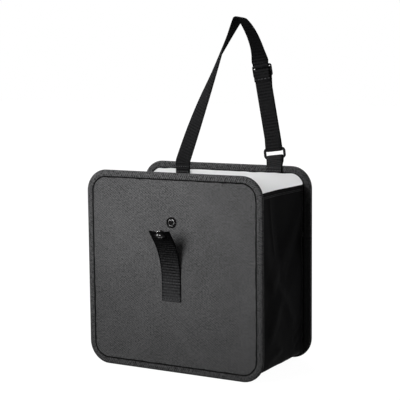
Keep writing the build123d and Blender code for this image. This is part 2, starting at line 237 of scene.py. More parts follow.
def streaks(both, across_scale, along_scale):
    """Noise drawn out along one way of the cloth, as uneven yarn looks."""
    drawn = both.node("ShaderNodeMapping", None, {"Vector": both, "Scale": (across_scale, along_scale, 1)})
    return drawn.noise(1.0, 3.0)


print("Finish ready")

# %% [markdown]
# ## Woven finishes
# The panels are grey polyester in a fine twill. Its crossing lines come and go in patches, over a fine
# grain and slow changes of tone. The gusset is thin plain-woven black nylon. A picture of cloth would blur
# close up and repeat far off, so each weave is worked out from waves and noise.

# %% Cloth for panels and gusset
MM = 0.001


def cover_cloth():
    cloth = Finish("cover_cloth", {"Specular IOR Level": 0.02})
    across, along, both = cloth.flat()
    twill = (across * 0.72 + along).wave(2.8 * MM)
    counter = (across * 0.72 - along).wave(2.8 * MM)
    yarn = streaks(both, 2600, 160) * 0.5 + streaks(both, 160, 2600) * 0.5
    cast = both.noise(14.0, 3.0) * 0.3 + both.noise(60.0, 4.0, 0.7) * 0.24
    weave = (twill * 0.45 + counter * 0.2 - 0.33) * (both.noise(70.0, 2.0) * 1.7 - 0.3)
    grain = both.noise(480.0, 2.0) * 1.1 - 0.55
    tone = weave + cast + grain + yarn * 0.3 + 0.08
    return cloth.show(Base_Color=tone.between((0.015, 0.015, 0.0155), (0.155, 0.155, 0.157)),
                      Roughness=yarn * 0.2 + 0.75, Normal=(twill * 0.7 + counter * 0.3).bump(0.1 * MM, 0.6))


def gusset_cloth():
    cloth = Finish("gusset_cloth", {"Specular IOR Level": 0.007})
    across, along, both = cloth.flat()
    weave = across.wave(0.6 * MM) * 0.5 + along.wave(0.6 * MM) * 0.5
    cast = both.noise(30.0, 4.0)
    tone = weave * 0.4 + cast * 0.6
    return cloth.show(Base_Color=tone.between((0.005, 0.005, 0.0053), (0.015, 0.015, 0.0156)),
                      Roughness=cast * 0.25 + 0.5, Normal=weave.bump(0.12 * MM, 0.5))


COVER, GUSSET = cover_cloth(), gusset_cloth()
print("cloth:", COVER.name, GUSSET.name)

# %% [markdown]
# ## Tape, webbing and thread
# The edge tape is a speckled binding with slanting ribs and painted shade in the groove at its seam. Strap
# and tabs are black webbing with dark selvedges and ribs that show in patches, and the front tab's finish has
# painted shade that deepens towards its tip. Folds and ribs are shaped too, but speckles and yarn are finer
# than any mesh here, so those are only painted, as is the shade in the seam's groove and along the tab.

# %% Finishes for tape, webbing and thread
SEAM_LINE, SEAM_SHADE_WIDTH = 1.1, 0.9     # from the tape's inner edge to its seam, and the width of the painted shade along the seam


def edge_tape():
    tape = Finish("edge_tape", {"Specular IOR Level": 0.02})
    across, along, both = tape.flat()
    ribs = (along + across * 0.6).wave(2.6 * MM, 1.5)
    threads = across.wave(0.8 * MM)
    yarn = both.noise(430.0, 3.0, 0.6)
    # Painted shade along the seam, darkening the tape in the groove at its inner edge.
    seam_shade = across.bell(SEAM_LINE * MM, SEAM_SHADE_WIDTH * MM)
    tone = ribs * 0.5 + yarn * 2.2 + threads * 0.1 - 0.85 - seam_shade * yarn * 1.7
    return tape.show(Base_Color=tone.between((0.006, 0.006, 0.0062), (0.125, 0.125, 0.127)),
                     Roughness=yarn * 0.2 + 0.65, Normal=(ribs * 0.7 + threads * 0.3).bump(0.25 * MM, 0.9))


def webbing_cloth(name, width, dark, light, pitch, rib, tip_shade=0.0):
    cloth = Finish(name, {"Specular IOR Level": 0.003})
    across, along, both = cloth.flat()
    to_edge = across.math("ABSOLUTE", across * (2 / (width * MM)))
    selvedge = to_edge.math("POWER", to_edge, 14.0)
    ribs = along.wave(pitch * MM)
    warp = (across + along * 0.2).wave(0.9 * MM)
    yarn = streaks(both, 900, 300)
    rib_patches_and_painted_glints = both.noise(42.0, 2.0) * 2.2 - 0.65
    # Painted shade: the tone falls along the band, which darkens the front tab towards its tip.
    tone = (ribs - 0.6) * rib_patches_and_painted_glints * rib + warp * 0.15 + yarn - 0.04 - along * tip_shade - selvedge * 0.6
    return cloth.show(Base_Color=tone.between((dark, dark, dark * 1.05), (light, light, light * 1.04)),
                      Roughness=yarn * 0.25 + 0.55, Normal=(warp * 0.6 + ribs * 0.4).bump(0.2 * MM, 0.6))


def sewing_thread(name, dark, light):
    thread = Finish(name, {"Specular IOR Level": 0.1})
    twist = thread.place.noise(4000.0, 2.0)
    return thread.show(Base_Color=twist.between(dark, light), Roughness=twist * 0.3 + 0.5,
                       Normal=twist.bump(0.05 * MM, 0.5))


TAPE = edge_tape()
STRAP_WEB = webbing_cloth("strap_webbing", 20, 0.003, 0.026, 3.6, 0.75)
# The ring loop wears a lighter version of the strap's webbing, with painted light.
RING_WEB_PAINTED_LIGHT = webbing_cloth("ring_webbing_painted_light", 20, 0.004, 0.050, 2.4, 0.6)
# The front tab's last value is painted shade that darkens it towards its tip.
TAB_WEB = webbing_cloth("tab_webbing", 25, 0.003, 0.076, 3.4, 0.7, 6.5)
THREAD = sewing_thread("sewing_thread", (0.05, 0.05, 0.052), (0.16, 0.16, 0.165))
GREY_THREAD = sewing_thread("grey_thread", (0.03, 0.03, 0.031), (0.12, 0.12, 0.124))
BLACK_THREAD = sewing_thread("black_thread", (0.004, 0.004, 0.004), (0.012, 0.012, 0.012))
print("bands:", [finish.name for finish in (TAPE, STRAP_WEB, RING_WEB_PAINTED_LIGHT, TAB_WEB)],
      "and threads:", [finish.name for finish in (THREAD, GREY_THREAD, BLACK_THREAD)])

# %% [markdown]
# ## Film, board, plastic and metal
# The lining is a pale waterproof film with a soft gloss and faint creases. The boards inside the panels are
# grey card. Ring and slider are moulded black plastic, slightly orange-peeled. The snap is metal under a
# shiny black enamel, with painted glints: bright metal patches on a ring round each part's middle.

# %% Finishes that aren't woven
GLINT_RING_WIDTH = 0.7         # width of the ring of painted glints on a snap part


def lining_film():
    film = Finish("lining_film", {"Specular IOR Level": 0.3})
    creases = film.place.noise(60.0, 5.0, 0.6)
    cast = film.place.noise(9.0, 2.0)
    return film.show(Base_Color=cast.between((0.92, 0.923, 0.926), (0.95, 0.952, 0.954)),
                     Roughness=creases * 0.25 + 0.35, Normal=creases.bump(0.4 * MM, 0.35))


def grey_board():
    board = Finish("grey_board", {"Specular IOR Level": 0.2})
    fibres = board.place.noise(900.0, 4.0, 0.7)
    return board.show(Base_Color=fibres.between((0.16, 0.15, 0.13), (0.30, 0.28, 0.25)),
                      Roughness=fibres * 0.15 + 0.8, Normal=fibres.bump(0.1 * MM, 0.5))


def moulded_plastic():
    plastic = Finish("moulded_plastic", {"Specular IOR Level": 0.03})
    peel = plastic.place.noise(1400.0, 2.0)
    scuffs = plastic.place.noise(260.0, 5.0, 0.7)
    return plastic.show(Base_Color=scuffs.between((0.007, 0.007, 0.0075), (0.017, 0.017, 0.018)),
                        Roughness=scuffs * 0.3 + 0.25, Normal=peel.bump(0.04 * MM, 0.4))


def black_enamel(node, ring):
    """Enamel of one snap part, with painted glints: bright metal patches on a ring round the part's middle.
    """
    enamel = Finish(f"{node}_enamel", {"Specular IOR Level": 0.04})
    middle = tuple((low + high) / 2 for low, high in zip(*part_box(node)))
    off = enamel.place.node("ShaderNodeVectorMath", {"operation": "SUBTRACT"}, {0: enamel.place, 1: middle})
    flat = off.node("ShaderNodeVectorMath", {"operation": "MULTIPLY"}, {0: off, 1: (1, 0, 1)})
    radius = flat.node("ShaderNodeVectorMath", {"operation": "LENGTH"}, {0: flat}, output=1)
    # Painted glints: bright metal patches on a ring round the middle, where highlights fall.
    patches = enamel.place.noise(560.0, 2.0) * 6.0 - 3.0
    rib_patches_and_painted_glints = patches * radius.bell(ring * MM, GLINT_RING_WIDTH * MM)
    rib_patches_and_painted_glints = rib_patches_and_painted_glints.math("MINIMUM", rib_patches_and_painted_glints.math("MAXIMUM", rib_patches_and_painted_glints, 0.0), 1.0)
    return enamel.show(Base_Color=rib_patches_and_painted_glints.between((0.005, 0.005, 0.005), (0.7, 0.7, 0.7)), Metallic=rib_patches_and_painted_glints,
                       Roughness=rib_patches_and_painted_glints * 0.2 + 0.1, Normal=patches.bump(0.01 * MM, 0.2))


FILM, BOARD, PLASTIC = lining_film(), grey_board(), moulded_plastic()
ENAMEL = {part: black_enamel(f"snap_{part}", ring)
          for part, ring in (("cap", 2.1), ("socket", 3.4), ("stud", 3.4), ("post", 3.4))}
print("other finishes:", [finish.name for finish in (FILM, BOARD, PLASTIC, *ENAMEL.values())])

# %% [markdown]
# ## Pieces of the frame that stay
# The boards and the four snap parts are hard and already have their true shape, so their solids stay and
# only get a finish. The finish goes on the object's own slot, which leaves the solid's mesh as it came.

# %% Finish the solids that stay
def dress(node, finish):
    solid = frame["nodes"][node]
    for material_slot in solid.material_slots:
        material_slot.link = "OBJECT"
        material_slot.material = finish


for side in ("front", "back"):
    dress(f"{side}_board", BOARD)
for part, finish in ENAMEL.items():
    dress(f"snap_{part}", finish)
print("solids that stay: 2 boards and 4 snap parts")

# %% [markdown]
# ## Building cloth from grids
# Sheets and webbing are easiest to steer as grids of points: one grid for each face, joined along the rim
# into a closed shell with a real thickness. The UV map keeps the flat coordinates of every point, for the
# weave.

# %% Make meshes from grids
def quads(rows, columns, start=0, round_rows=False, round_columns=False):
    """Faces of a grid of points, closed into a ring along either way if asked."""
    index = start + np.arange(rows * columns).reshape(rows, columns)
    if round_rows:
        index = np.vstack([index, index[:1]])
    if round_columns:
        index = np.hstack([index, index[:, :1]])
    corners = [index[:-1, :-1], index[:-1, 1:], index[1:, 1:], index[1:, :-1]]
    return np.stack(corners, -1).reshape(-1, 4)


def slab(top, bottom):
    """Points and faces of a sheet between two grids, closed along its rim."""
    rows, columns = top.shape[:2]
    count = rows * columns
    index = np.arange(count).reshape(rows, columns)
    rim = np.concatenate([index[0, :-1], index[:-1, -1], index[-1, :0:-1], index[:0:-1, 0]])
    ahead = np.roll(rim, -1)
    walls = np.stack([rim, ahead, ahead + count, rim + count], -1)
    faces = np.concatenate([quads(rows, columns), quads(rows, columns, count)[:, ::-1], walls])
    return np.concatenate([top.reshape(-1, 3), bottom.reshape(-1, 3)]), faces


def make_piece(name, points, faces, finish, flat=None, crease=40):
    """A closed mesh in metres from millimetres: normals outwards, smooth up to a crease angle, flat UVs."""
    mesh = bpy.data.meshes.new(name)
    mesh.from_pydata((points * MM).tolist(), [], faces.tolist())
    shell = bmesh.new()
    shell.from_mesh(mesh)
    bmesh.ops.recalc_face_normals(shell, faces=shell.faces)
    shell.to_mesh(mesh)
    shell.free()
    if flat is not None:
        corner_points = np.empty(len(mesh.loops), np.int32)
        mesh.loops.foreach_get("vertex_index", corner_points)
        corner_flat = (flat * MM)[corner_points].astype(np.float32)
        mesh.uv_layers.new(name="flat").data.foreach_set("uv", corner_flat.ravel())
    mesh.shade_smooth()
    mesh.set_sharp_from_angle(angle=math.radians(crease))
    mesh.materials.append(finish)
    print(f"{name}: {len(mesh.polygons)} faces")
    return add_object(name, mesh)


def both_faces(flat):
    """Flat coordinates of a grid, once for each face of its slab."""
    return np.concatenate([flat.reshape(-1, 2)] * 2)


print("grid helpers ready")

# %% [markdown]
# ## Unevenness
# Cloth is never quite even: it waves where it is stretched, sags beside a seam and crumples where it was
# folded. A Displace modifier with a noise texture could do that, but a sum of a few sine waves in seeded
# directions is the same every time, and it can be worked out at any point of a grid before there is a mesh.

# %% Ripple a surface
def ripple(first, second, size, seed):
    """Gentle seeded unevenness, mostly between -1 and 1, with bumps of about the given size."""
    draw = np.random.default_rng(seed)
    total = np.zeros(np.broadcast(first, second).shape)
    for turn, stretch, start in draw.uniform((0, 0.7, 0), (math.pi, 1.4, 2 * math.pi), (7, 3)):
        total += np.sin((first * np.cos(turn) + second * np.sin(turn)) * stretch * math.pi / size + start)
    return total / 3.5


sample = ripple(*np.meshgrid(np.arange(200.0), np.arange(200.0)), 40, 1)
print(f"ripples from {sample.min():.1f} to {sample.max():.1f}")

# %% [markdown]
# ## Panel cloth and lining
# Each panel is a board with cloth on its outer face and film on its inner face, caught all round by the
# edge tape. Stretched cloth is never quite flat: it has shallow waves in the middle and lies flat where it
# is sewn. The sheet is a grid pulled in at the corners, with those waves added to its outer face.

# %% Panel sheets
PANEL_HALF = (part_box("back_binding")[1][0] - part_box("back_binding")[0][0]) / 2 / MM
PANEL_THICK = 3.8
BOARD_TO_CLOTH, BOARD_TO_FILM = 1.2, 1.4     # from a panel's middle plane to the hidden side of its sheets
CLOTH_WAVE, FILM_WAVE = 0.10, 0.12
LONG_WAVE, SHORT_WAVE, WAVE_FADE = 60, 22, 25     # sizes of the waves, and how far they fade towards the tape
CORNER_RADIUS = 26.0
TAPE_THICK = 0.6
TAPE_LAP = 9.0
SHEET_STEP = 2.0
BACK_MIDDLE = -PANEL_THICK / 2
FRONT_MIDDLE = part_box("front_cover")[0][1] / MM + PANEL_THICK / 2


def take_place(piece, body, node):
    """Lets a piece move with a body and stand for a solid of the frame, which it hides."""
    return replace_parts(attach(piece, body), node)


def panel_sheet(name, node, middle, outward, inner, wave, seed, finish, body):
    """A stretched sheet on one face of a panel, between two distances from the panel's middle plane."""
    half, radius = PANEL_HALF - TAPE_THICK, CORNER_RADIUS - TAPE_THICK
    line = np.linspace(-half, half, round(2 * half / SHEET_STEP) + 1)
    x, z = np.meshgrid(line, line)
    off_x, off_z = x - np.sign(x) * (half - radius), z - np.sign(z) * (half - radius)
    beyond = np.hypot(off_x, off_z)
    pulled = (np.abs(x) > half - radius) & (np.abs(z) > half - radius) & (beyond > radius)
    ease = np.where(pulled, radius / np.maximum(beyond, radius), 1.0)
    x = np.where(pulled, x - off_x * (1 - ease), x)
    z = np.where(pulled, z - off_z * (1 - ease), z)
    free = np.clip((half - TAPE_LAP - np.maximum(np.abs(x), np.abs(z))) / WAVE_FADE, 0, 1)
    swell = wave * free * (ripple(x, z, LONG_WAVE, seed) + 0.5 * ripple(x, z, SHORT_WAVE, seed + 1))
    away = outward * (PANEL_THICK / 2 + swell)
    top = np.stack([x, middle + away, z], -1)
    bottom = np.stack([x, np.full_like(x, middle + outward * inner), z], -1)
    points, faces = slab(top, bottom)
    sheet = make_piece(name, points, faces, finish, both_faces(np.stack([x, z], -1)))
    take_place(sheet, body, node)


for body, middle, outward, seed in (("front", FRONT_MIDDLE, -1, 3), ("back", BACK_MIDDLE, 1, 8)):
    panel_sheet(f"{body}_cloth", f"{body}_cover", middle, outward, BOARD_TO_CLOTH, CLOTH_WAVE, seed,
                COVER, body)
    panel_sheet(f"{body}_film", f"{body}_lining", middle, -outward, BOARD_TO_FILM, FILM_WAVE, seed + 20,
                FILM, body)

# %% [markdown]
# ## A panel's outline
# Tape and stitches both run round a panel. One helper walks that outline in even steps, along four straight
# sides and round four corners, and tells which way is outwards.

# %% Walk round a panel's edge
TAPE_STEP = 1.15


def panel_outline(step):
    """Evenly spaced points round the panel's edge, their outward directions and their distances along it."""
    straight, bend = 2 * (PANEL_HALF - CORNER_RADIUS), CORNER_RADIUS * math.pi / 2
    total = 4 * (straight + bend)
    way = np.linspace(0, total, round(total / step), endpoint=False)
    side, along = np.divmod(way, straight + bend)
    angle = np.maximum(along - straight, 0) / CORNER_RADIUS
    reach = PANEL_HALF - CORNER_RADIUS
    ahead = np.minimum(along, straight) - reach
    local = np.stack([reach + CORNER_RADIUS * np.cos(angle), ahead + CORNER_RADIUS * np.sin(angle)], -1)
    outward = np.stack([np.cos(angle), np.sin(angle)], -1)
    turn = side * math.pi / 2
    cos, sin = np.cos(turn), np.sin(turn)

    def to_side(pair):
        return np.stack([pair[:, 0] * cos - pair[:, 1] * sin, pair[:, 0] * sin + pair[:, 1] * cos], -1)

    return to_side(local), to_side(outward), way


print(f"panel outline: {len(panel_outline(TAPE_STEP)[2])} steps of about {TAPE_STEP} mm")

# %% [markdown]
# ## Edge tape
# The tape is folded round each panel's edge and sewn through, so it is a shallow arch on each face: it dips
# at the row of stitches, swells beside it and rounds over the edge. Sweeping one section round the panel's
# outline gives that, and the section is pulled in a little at every stitch so that the sewing puckers it.

# %% Sweep the edge tape
STITCH_PITCH = 3.4
TAPE_SEWN, TAPE_DIP = 7.5, 0.34
TAPE_SLACK, TAPE_PUCKER = 0.12, 0.16        # how much the tape swells beside its seam and dips at a stitch
LAP_WANDER, LAP_PUCKER = 0.35, 0.1          # how much its lap's edge wanders and is pulled in at a stitch
HIDDEN_LAP, HIDDEN_EDGE, HIDDEN_DEPTH = 8.8, 1.0, 0.1     # the tape's underside
INNER_LAP = [(94.0, 1.8), (104.0, 0.0)]     # how much wider the inner lap is at a height
TAPE_FACE = [(TAPE_LAP, 0.02), (8.9, 0.36), (8.4, 0.56), (TAPE_SEWN, TAPE_DIP), (6.6, 0.58), (5.0, 0.66),
             (3.2, 0.66), (1.8, 0.56), (0.8, 0.20), (0.2, -0.55)]


def edge_binding(name, node, middle, inside, seed, body):
    edge, outward, way = panel_outline(TAPE_STEP)
    face = np.array(TAPE_FACE)
    inset = np.concatenate([face[:, 0], [0.0], face[::-1, 0],
                            [HIDDEN_LAP, HIDDEN_EDGE, HIDDEN_EDGE, HIDDEN_LAP]])
    hidden = PANEL_THICK / 2 - HIDDEN_DEPTH
    height = np.concatenate([PANEL_THICK / 2 + face[:, 1], [0.0], -PANEL_THICK / 2 - face[::-1, 1],
                             [-hidden, -hidden, hidden, hidden]])
    inset = np.tile(inset, (len(way), 1))
    height = np.tile(height, (len(way), 1))
    shown = slice(0, 2 * len(face) + 1)
    seam = np.exp(-((inset - TAPE_SEWN) / 1.3) ** 2)
    pucker = 0.5 + 0.5 * np.cos(way * 2 * math.pi / STITCH_PITCH)
    slack = ripple(way, 0 * way, 17, seed)
    swell = (TAPE_SLACK * slack[:, None] * np.exp(-((inset - 4) / 2.5) ** 2)
             - TAPE_PUCKER * pucker[:, None] * seam)
    height[:, shown] += (np.sign(height) * swell)[:, shown]
    wander = LAP_WANDER * ripple(way, 0 * way, 9, seed + 1) - LAP_PUCKER * pucker
    wider = np.interp(edge[:, 1], *np.transpose(INNER_LAP))[:, None] * (np.sign(height) == inside)
    inset[:, shown] += ((wander[:, None] + wider) * np.clip((inset - 7) / 2, 0, 1))[:, shown]
    spot = edge[:, None] - outward[:, None] * inset[..., None]
    points = np.stack([spot[..., 0], middle + height, spot[..., 1]], -1)
    rows, columns = inset.shape
    span = np.concatenate([[0], np.cumsum(np.hypot(np.diff(inset[0]), np.diff(height[0])))])
    span = np.minimum(span, span[shown][-1] - span)
    flat = np.stack(np.broadcast_arrays(span[None, :], way[:, None]), -1)
    tape = make_piece(name, points.reshape(-1, 3), quads(rows, columns, 0, True, True), TAPE,
                      flat.reshape(-1, 2), crease=50)
    take_place(tape, body, node)


edge_binding("front_tape", "front_binding", FRONT_MIDDLE, 1, 31, "front")
edge_binding("back_tape", "back_binding", BACK_MIDDLE, -1, 41, "back")

# %% [markdown]
# ## Gusset
# One strip of thin cloth makes both sides and the floor. It is made to fold inwards when the bin is pressed
# flat, so it keeps a soft crease down the middle, a slanting fold across it and an inverted V low down.
# Simulating such remembered folds is hard to steer, so the folds are drawn as lines that push the grid in
# or out and fade away.

# %% Draw the gusset's folds
GUSSET_SIDE, GUSSET_LOW = 104.5, 110.0
GUSSET_BEND = 8.0
GUSSET_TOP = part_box("gusset")[1][2] / MM
GUSSET_FRONT, GUSSET_BACK = FRONT_MIDDLE + PANEL_THICK / 2, -PANEL_THICK
GUSSET_CLOTH, LINING_GAP, LINING_FILM = 0.8, 0.1, 0.5
GUSSET_STEP = 1.6
HEM, HEM_THICK = 8.0, 0.45
SEAM_AT, SEAM_WIDTH, SEAM_RIDGE = 0.955, 0.018, 0.5     # in shares of the half width, and the ridge's height
FOLD_FADE = 0.12                                        # share of it over which folds fade towards a seam
CRUMPLE = [(0.22, 26, 51), (0.12, 11, 52)]              # depth, size and seed of the small bumps
WALL = GUSSET_TOP + GUSSET_LOW - GUSSET_BEND
CORNER = GUSSET_BEND * math.pi / 2
FLOOR = 2 * (GUSSET_SIDE - GUSSET_BEND)
# Distance from the hem, where the flank bends, how far it comes in there, and how far the middle comes in
MAIN_CREASE = np.array([(0, 0.5, 1.5, 3.0), (69, 0.5, 3.5, 7.0), (124, 0.05, -1.6, -1.6), (WALL, 0.9, 0, 0),
                        (WALL + CORNER, 0.9, 0, 0), (WALL + CORNER + FLOOR / 2, 0.5, 2.0, 4.0)])
CREASE_SHIFT = np.array([(0, -0.11), (40, -0.03), (69, 0.16), (124, 0.01), (WALL, 0)])
# The seams climb from the film onto the tape between these distances from the hem
SEAM_CLIMB = (124, GUSSET_TOP + PANEL_HALF - CORNER_RADIUS)
# Fold lines on a wall, as places from the middle towards the back and heights, with depth inwards and width
WALL_FOLDS = [
    ([(55, 72), (38, 45), (26, 28), (10, 12), (-19, -10)], -1.6, 13),
    ([(52, 26), (20, -10), (2, -21)], 2.0, 15),
    ([(1, -24), (-22, -68)], -1.5, 12),
    ([(1, -24), (30, -62)], -1.5, 12),
    ([(-52, 40), (-30, -30), (-48, -80)], 1.0, 14),
    ([(58, -72), (36, -84)], 1.1, 5),
    ([(60, -84), (40, -95)], 1.1, 4),
    ([(-58, -90), (-30, -98), (0, -91)], -1.2, 6),
    ([(-23, 86), (-15, 55), (-5, 22)], -1.1, 4),
]


def near_fold(across, height, line, width):
    """1 on a fold line, falling evenly to 0 at a width from it."""
    nearest = np.full(across.shape, np.inf)
    for (y0, z0), (y1, z1) in zip(line, line[1:]):
        run = (y1 - y0) ** 2 + (z1 - z0) ** 2
        share = np.clip(((across - y0) * (y1 - y0) + (height - z0) * (z1 - z0)) / run, 0, 1)
        off_y, off_z = across - y0 - share * (y1 - y0), height - z0 - share * (z1 - z0)
        nearest = np.minimum(nearest, np.hypot(off_y, off_z))
    return np.clip(1 - nearest / width, 0, 1)


def soften(grid, times):
    """Rounds the creases of a grid of depths a little."""
    for _ in range(times):
        padded = np.pad(grid, 1, mode="edge")
        grid = (padded[:-2, 1:-1] + padded[2:, 1:-1] + padded[1:-1, :-2] + padded[1:-1, 2:] + 4 * grid) / 8
    return grid


print(f"gusset: {len(WALL_FOLDS)} fold lines on each wall of {WALL:.0f} mm")

# %% [markdown]
# ## The gusset's strip
# The strip is a grid that runs from the right hem down the wall, along the floor and up to the left hem.
# Each row knows how far it is from the nearer hem, so the same creases and folds serve both walls.

# %% Shape the gusset's strip
def gusset_grid():
    """Places and inward directions over the gusset's strip, its depths inwards and its flat coordinates."""
    total = 2 * (WALL + CORNER) + FLOOR
    way = np.linspace(0, total, round(total / GUSSET_STEP) + 1)
    share = np.linspace(-1, 1, round((GUSSET_BACK - GUSSET_FRONT) / GUSSET_STEP) + 1)
    down = np.minimum(way, total - way)
    side = np.where(way <= total / 2, 1.0, -1.0)
    turn = np.clip((down - WALL) / GUSSET_BEND, 0, math.pi / 2)
    reach = GUSSET_SIDE - GUSSET_BEND
    x = reach + GUSSET_BEND * np.cos(turn) - np.maximum(down - WALL - CORNER, 0)
    z = GUSSET_TOP - np.minimum(down, WALL) - GUSSET_BEND * np.sin(turn)
    inward = np.stack([-np.cos(turn) * side, 0 * turn, np.sin(turn)], -1)
    half = (GUSSET_BACK - GUSSET_FRONT) / 2
    climb = TAPE_THICK * np.interp(down, SEAM_CLIMB, (0, 1))
    y = GUSSET_FRONT + half + (half - climb)[:, None] * share
    place = np.stack(np.broadcast_arrays((x * side)[:, None], y, z[:, None]), -1)
    depth = np.empty((len(way), len(share)))
    for row, hem in enumerate(down):
        flank_at, flank, middle = (np.interp(hem, MAIN_CREASE[:, 0], values) for values in MAIN_CREASE.T[1:])
        shift = np.interp(hem, CREASE_SHIFT[:, 0], CREASE_SHIFT[:, 1])
        moved = np.where(share < shift, (share - shift) / (1 + shift), (share - shift) / (1 - shift))
        depth[row] = np.interp(np.abs(moved), [0, flank_at, 1], [middle, flank, 0])
    across, height = np.meshgrid(half * share, GUSSET_TOP - down)
    free = np.clip((1 - np.abs(share)) / FOLD_FADE, 0, 1)[None, :]
    for line, push, width in WALL_FOLDS:
        depth += push * free * near_fold(across, height, line, width)
    lengthways = np.broadcast_to(way[:, None], depth.shape)
    depth += free * sum(high * ripple(across, lengthways, size, seed) for high, size, seed in CRUMPLE)
    depth = soften(depth, 2)
    depth -= SEAM_RIDGE * np.exp(-((np.abs(share) - SEAM_AT) / SEAM_WIDTH) ** 2)[None, :]
    depth -= HEM_THICK * np.clip((HEM + 0.6 - down) / 1.2, 0, 1)[:, None]
    return place, inward, depth, np.stack([across, lengthways], -1)


GUSSET_GRID = gusset_grid()
print("gusset grid:", GUSSET_GRID[2].shape)

# %% [markdown]
# ## Cloth and film of the gusset
# Two layers lie on that grid, cloth outside and film inside.

# %% Make the gusset and its lining
JOINTS = {joint["name"]: joint for joint in frame["joints"]}


def gusset_layer(name, node, outer, inner, grid, finish):
    """One layer of the strip, riding with the back panel."""
    place, inward, depth, flat = grid
    skins = [place + inward[:, None] * (depth + layer)[..., None] for layer in (outer, inner)]
    points, faces = slab(*skins)
    layer = make_piece(name, points, faces, finish, both_faces(flat), crease=60)
    take_place(layer, "back", node)
    return layer


def fold_with_bin(piece):
    """Gives a soft piece a mesh of its own."""
    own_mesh(piece)


fold_with_bin(gusset_layer("gusset_strip", "gusset", 0, GUSSET_CLOTH, GUSSET_GRID, GUSSET))
film_depth = GUSSET_CLOTH + LINING_GAP
fold_with_bin(gusset_layer("gusset_film", "gusset_lining", film_depth, film_depth + LINING_FILM, GUSSET_GRID,
                           FILM))

# %% [markdown]
# ## Webbing
# Strap and tabs are woven webbing: a flat band with a rounded edge at each side and a low rib at every weft
# thread, so its edges are faintly scalloped. A route of points and a direction across give the band, and
# the ribs follow the length along it. Webbing keeps its shape, so it is built directly and not simulated.

# %% Weave a band along a route
RIB = 1.7
RIB_STEP = RIB / 4
BAND_COLUMNS = 15
RIB_RISE, SCALLOP = 0.13, 0.2     # how much a rib thickens and widens the band


def unit(vectors):
    return vectors / np.linalg.norm(vectors, axis=-1, keepdims=True)


def lengths(points):
    """Distance of each point along its route."""
    return np.concatenate([[0], np.cumsum(np.linalg.norm(np.diff(points, axis=0), axis=1))])


def even(points, *others):
    """A route, and what goes with its points, at even steps along its length."""
    way = lengths(points)
    at = np.linspace(0, way[-1], max(2, round(way[-1] / RIB_STEP) + 1))
    return [np.stack([np.interp(at, way, column) for column in np.asarray(values).T], -1)
            for values in (points, *others)]


def band(name, route, across, width, thick, finish, start=0.0, cup=0.0, hold=0.0):
    """A woven band along an even route: start is the rib count's offset.

    A cup bends each section's edges back, about its middle (hold 0) or about places nearer its edges.
    """
    way = lengths(route)
    ahead = unit(np.gradient(route, axis=0))
    across = unit(across - ahead * np.sum(across * ahead, -1, keepdims=True))
    outward = np.cross(across, ahead)
    side = np.sin(np.linspace(-math.pi / 2, math.pi / 2, BAND_COLUMNS))
    ribs = 0.5 - 0.5 * np.cos((way + start) * 2 * math.pi / RIB)
    rounded = 1 - 0.55 * np.abs(side) ** 10
    half = (thick / 2 - RIB_RISE + RIB_RISE * ribs[:, None] * (1 - side ** 8)) * rounded
    reach = (width / 2 - SCALLOP + SCALLOP * ribs[:, None]) * side
    middle = route[:, None] + across[:, None] * reach[..., None]
    bend = np.broadcast_to(cup, len(way))[:, None] * (side ** 2 - hold)
    middle = middle - outward[:, None] * bend[..., None]
    skins = [middle + outward[:, None] * (sign * half)[..., None] for sign in (1, -1)]
    flat = np.stack(np.broadcast_arrays(width / 2 * side[None, :], (way + start)[:, None]), -1)
    points, faces = slab(*skins)
    webbing = make_piece(name, points, faces, finish, both_faces(flat), crease=60)
    return webbing


print("webbing helper ready")

# %% [markdown]
# ## Seats of ring and slider
# Ring and slider lie square to the strap and are turned a little about it. A seat gives each one its own
# axes, so that the strap's way through it can be told in plain terms: so far up, so far out to the front.

# %% Seat ring and slider
UP, RIGHT, FORWARD = np.array([0, 0, 1.0]), np.array([1.0, 0, 0]), np.array([0, -1.0, 0])
STRAP_WIDTH, STRAP_THICK = 20.0, 1.3
INNER_FACE = -(PANEL_THICK + TAPE_THICK)
RING_X, RING_RISE, SLIDER_X, SLIDER_RISE = 68.4, 14.7, 52.5, 111.5
RING_TILT = BUCKLE_TURN = math.radians(7.0)


class Seat:
    """Where ring or slider sits: x along its bars, y up the strap, z to the front."""

    def __init__(self, x, rise, tilt):
        along = np.array([math.cos(tilt), 0, math.sin(tilt)])
        self.origin = np.array([x, INNER_FACE - STRAP_THICK, PANEL_HALF + rise])
        self.z = FORWARD * math.cos(BUCKLE_TURN) + along * math.sin(BUCKLE_TURN)
        self.x = along * math.cos(BUCKLE_TURN) - FORWARD * math.sin(BUCKLE_TURN)
        self.y = np.cross(self.z, self.x)

    def at(self, up, out, along=0.0):
        return self.origin + self.x * along + self.y * up + self.z * out


RING_SEAT = Seat(RING_X, RING_RISE, RING_TILT)
SLIDER_SEAT = Seat(SLIDER_X, SLIDER_RISE, math.atan2(RING_X - SLIDER_X, SLIDER_RISE - RING_RISE))
print("ring at", RING_SEAT.origin.round(1), "and slider at", SLIDER_SEAT.origin.round(1), "mm")

# %% [markdown]
# ## Curves and bends
# In the air the strap runs on a Bezier curve. Round a bar it is straight lines with arcs at their corners.
# Curve objects could draw both, but their twist is hard to set along the way, so points and directions are
# worked out.

# %% Helpers for routes
def curve(start, leave, arrive, end):
    """Points of a Bezier run."""
    t = np.linspace(0, 1, 300)[:, None]
    return start * (1 - t) ** 3 + 3 * leave * t * (1 - t) ** 2 + 3 * arrive * t ** 2 * (1 - t) + end * t ** 3


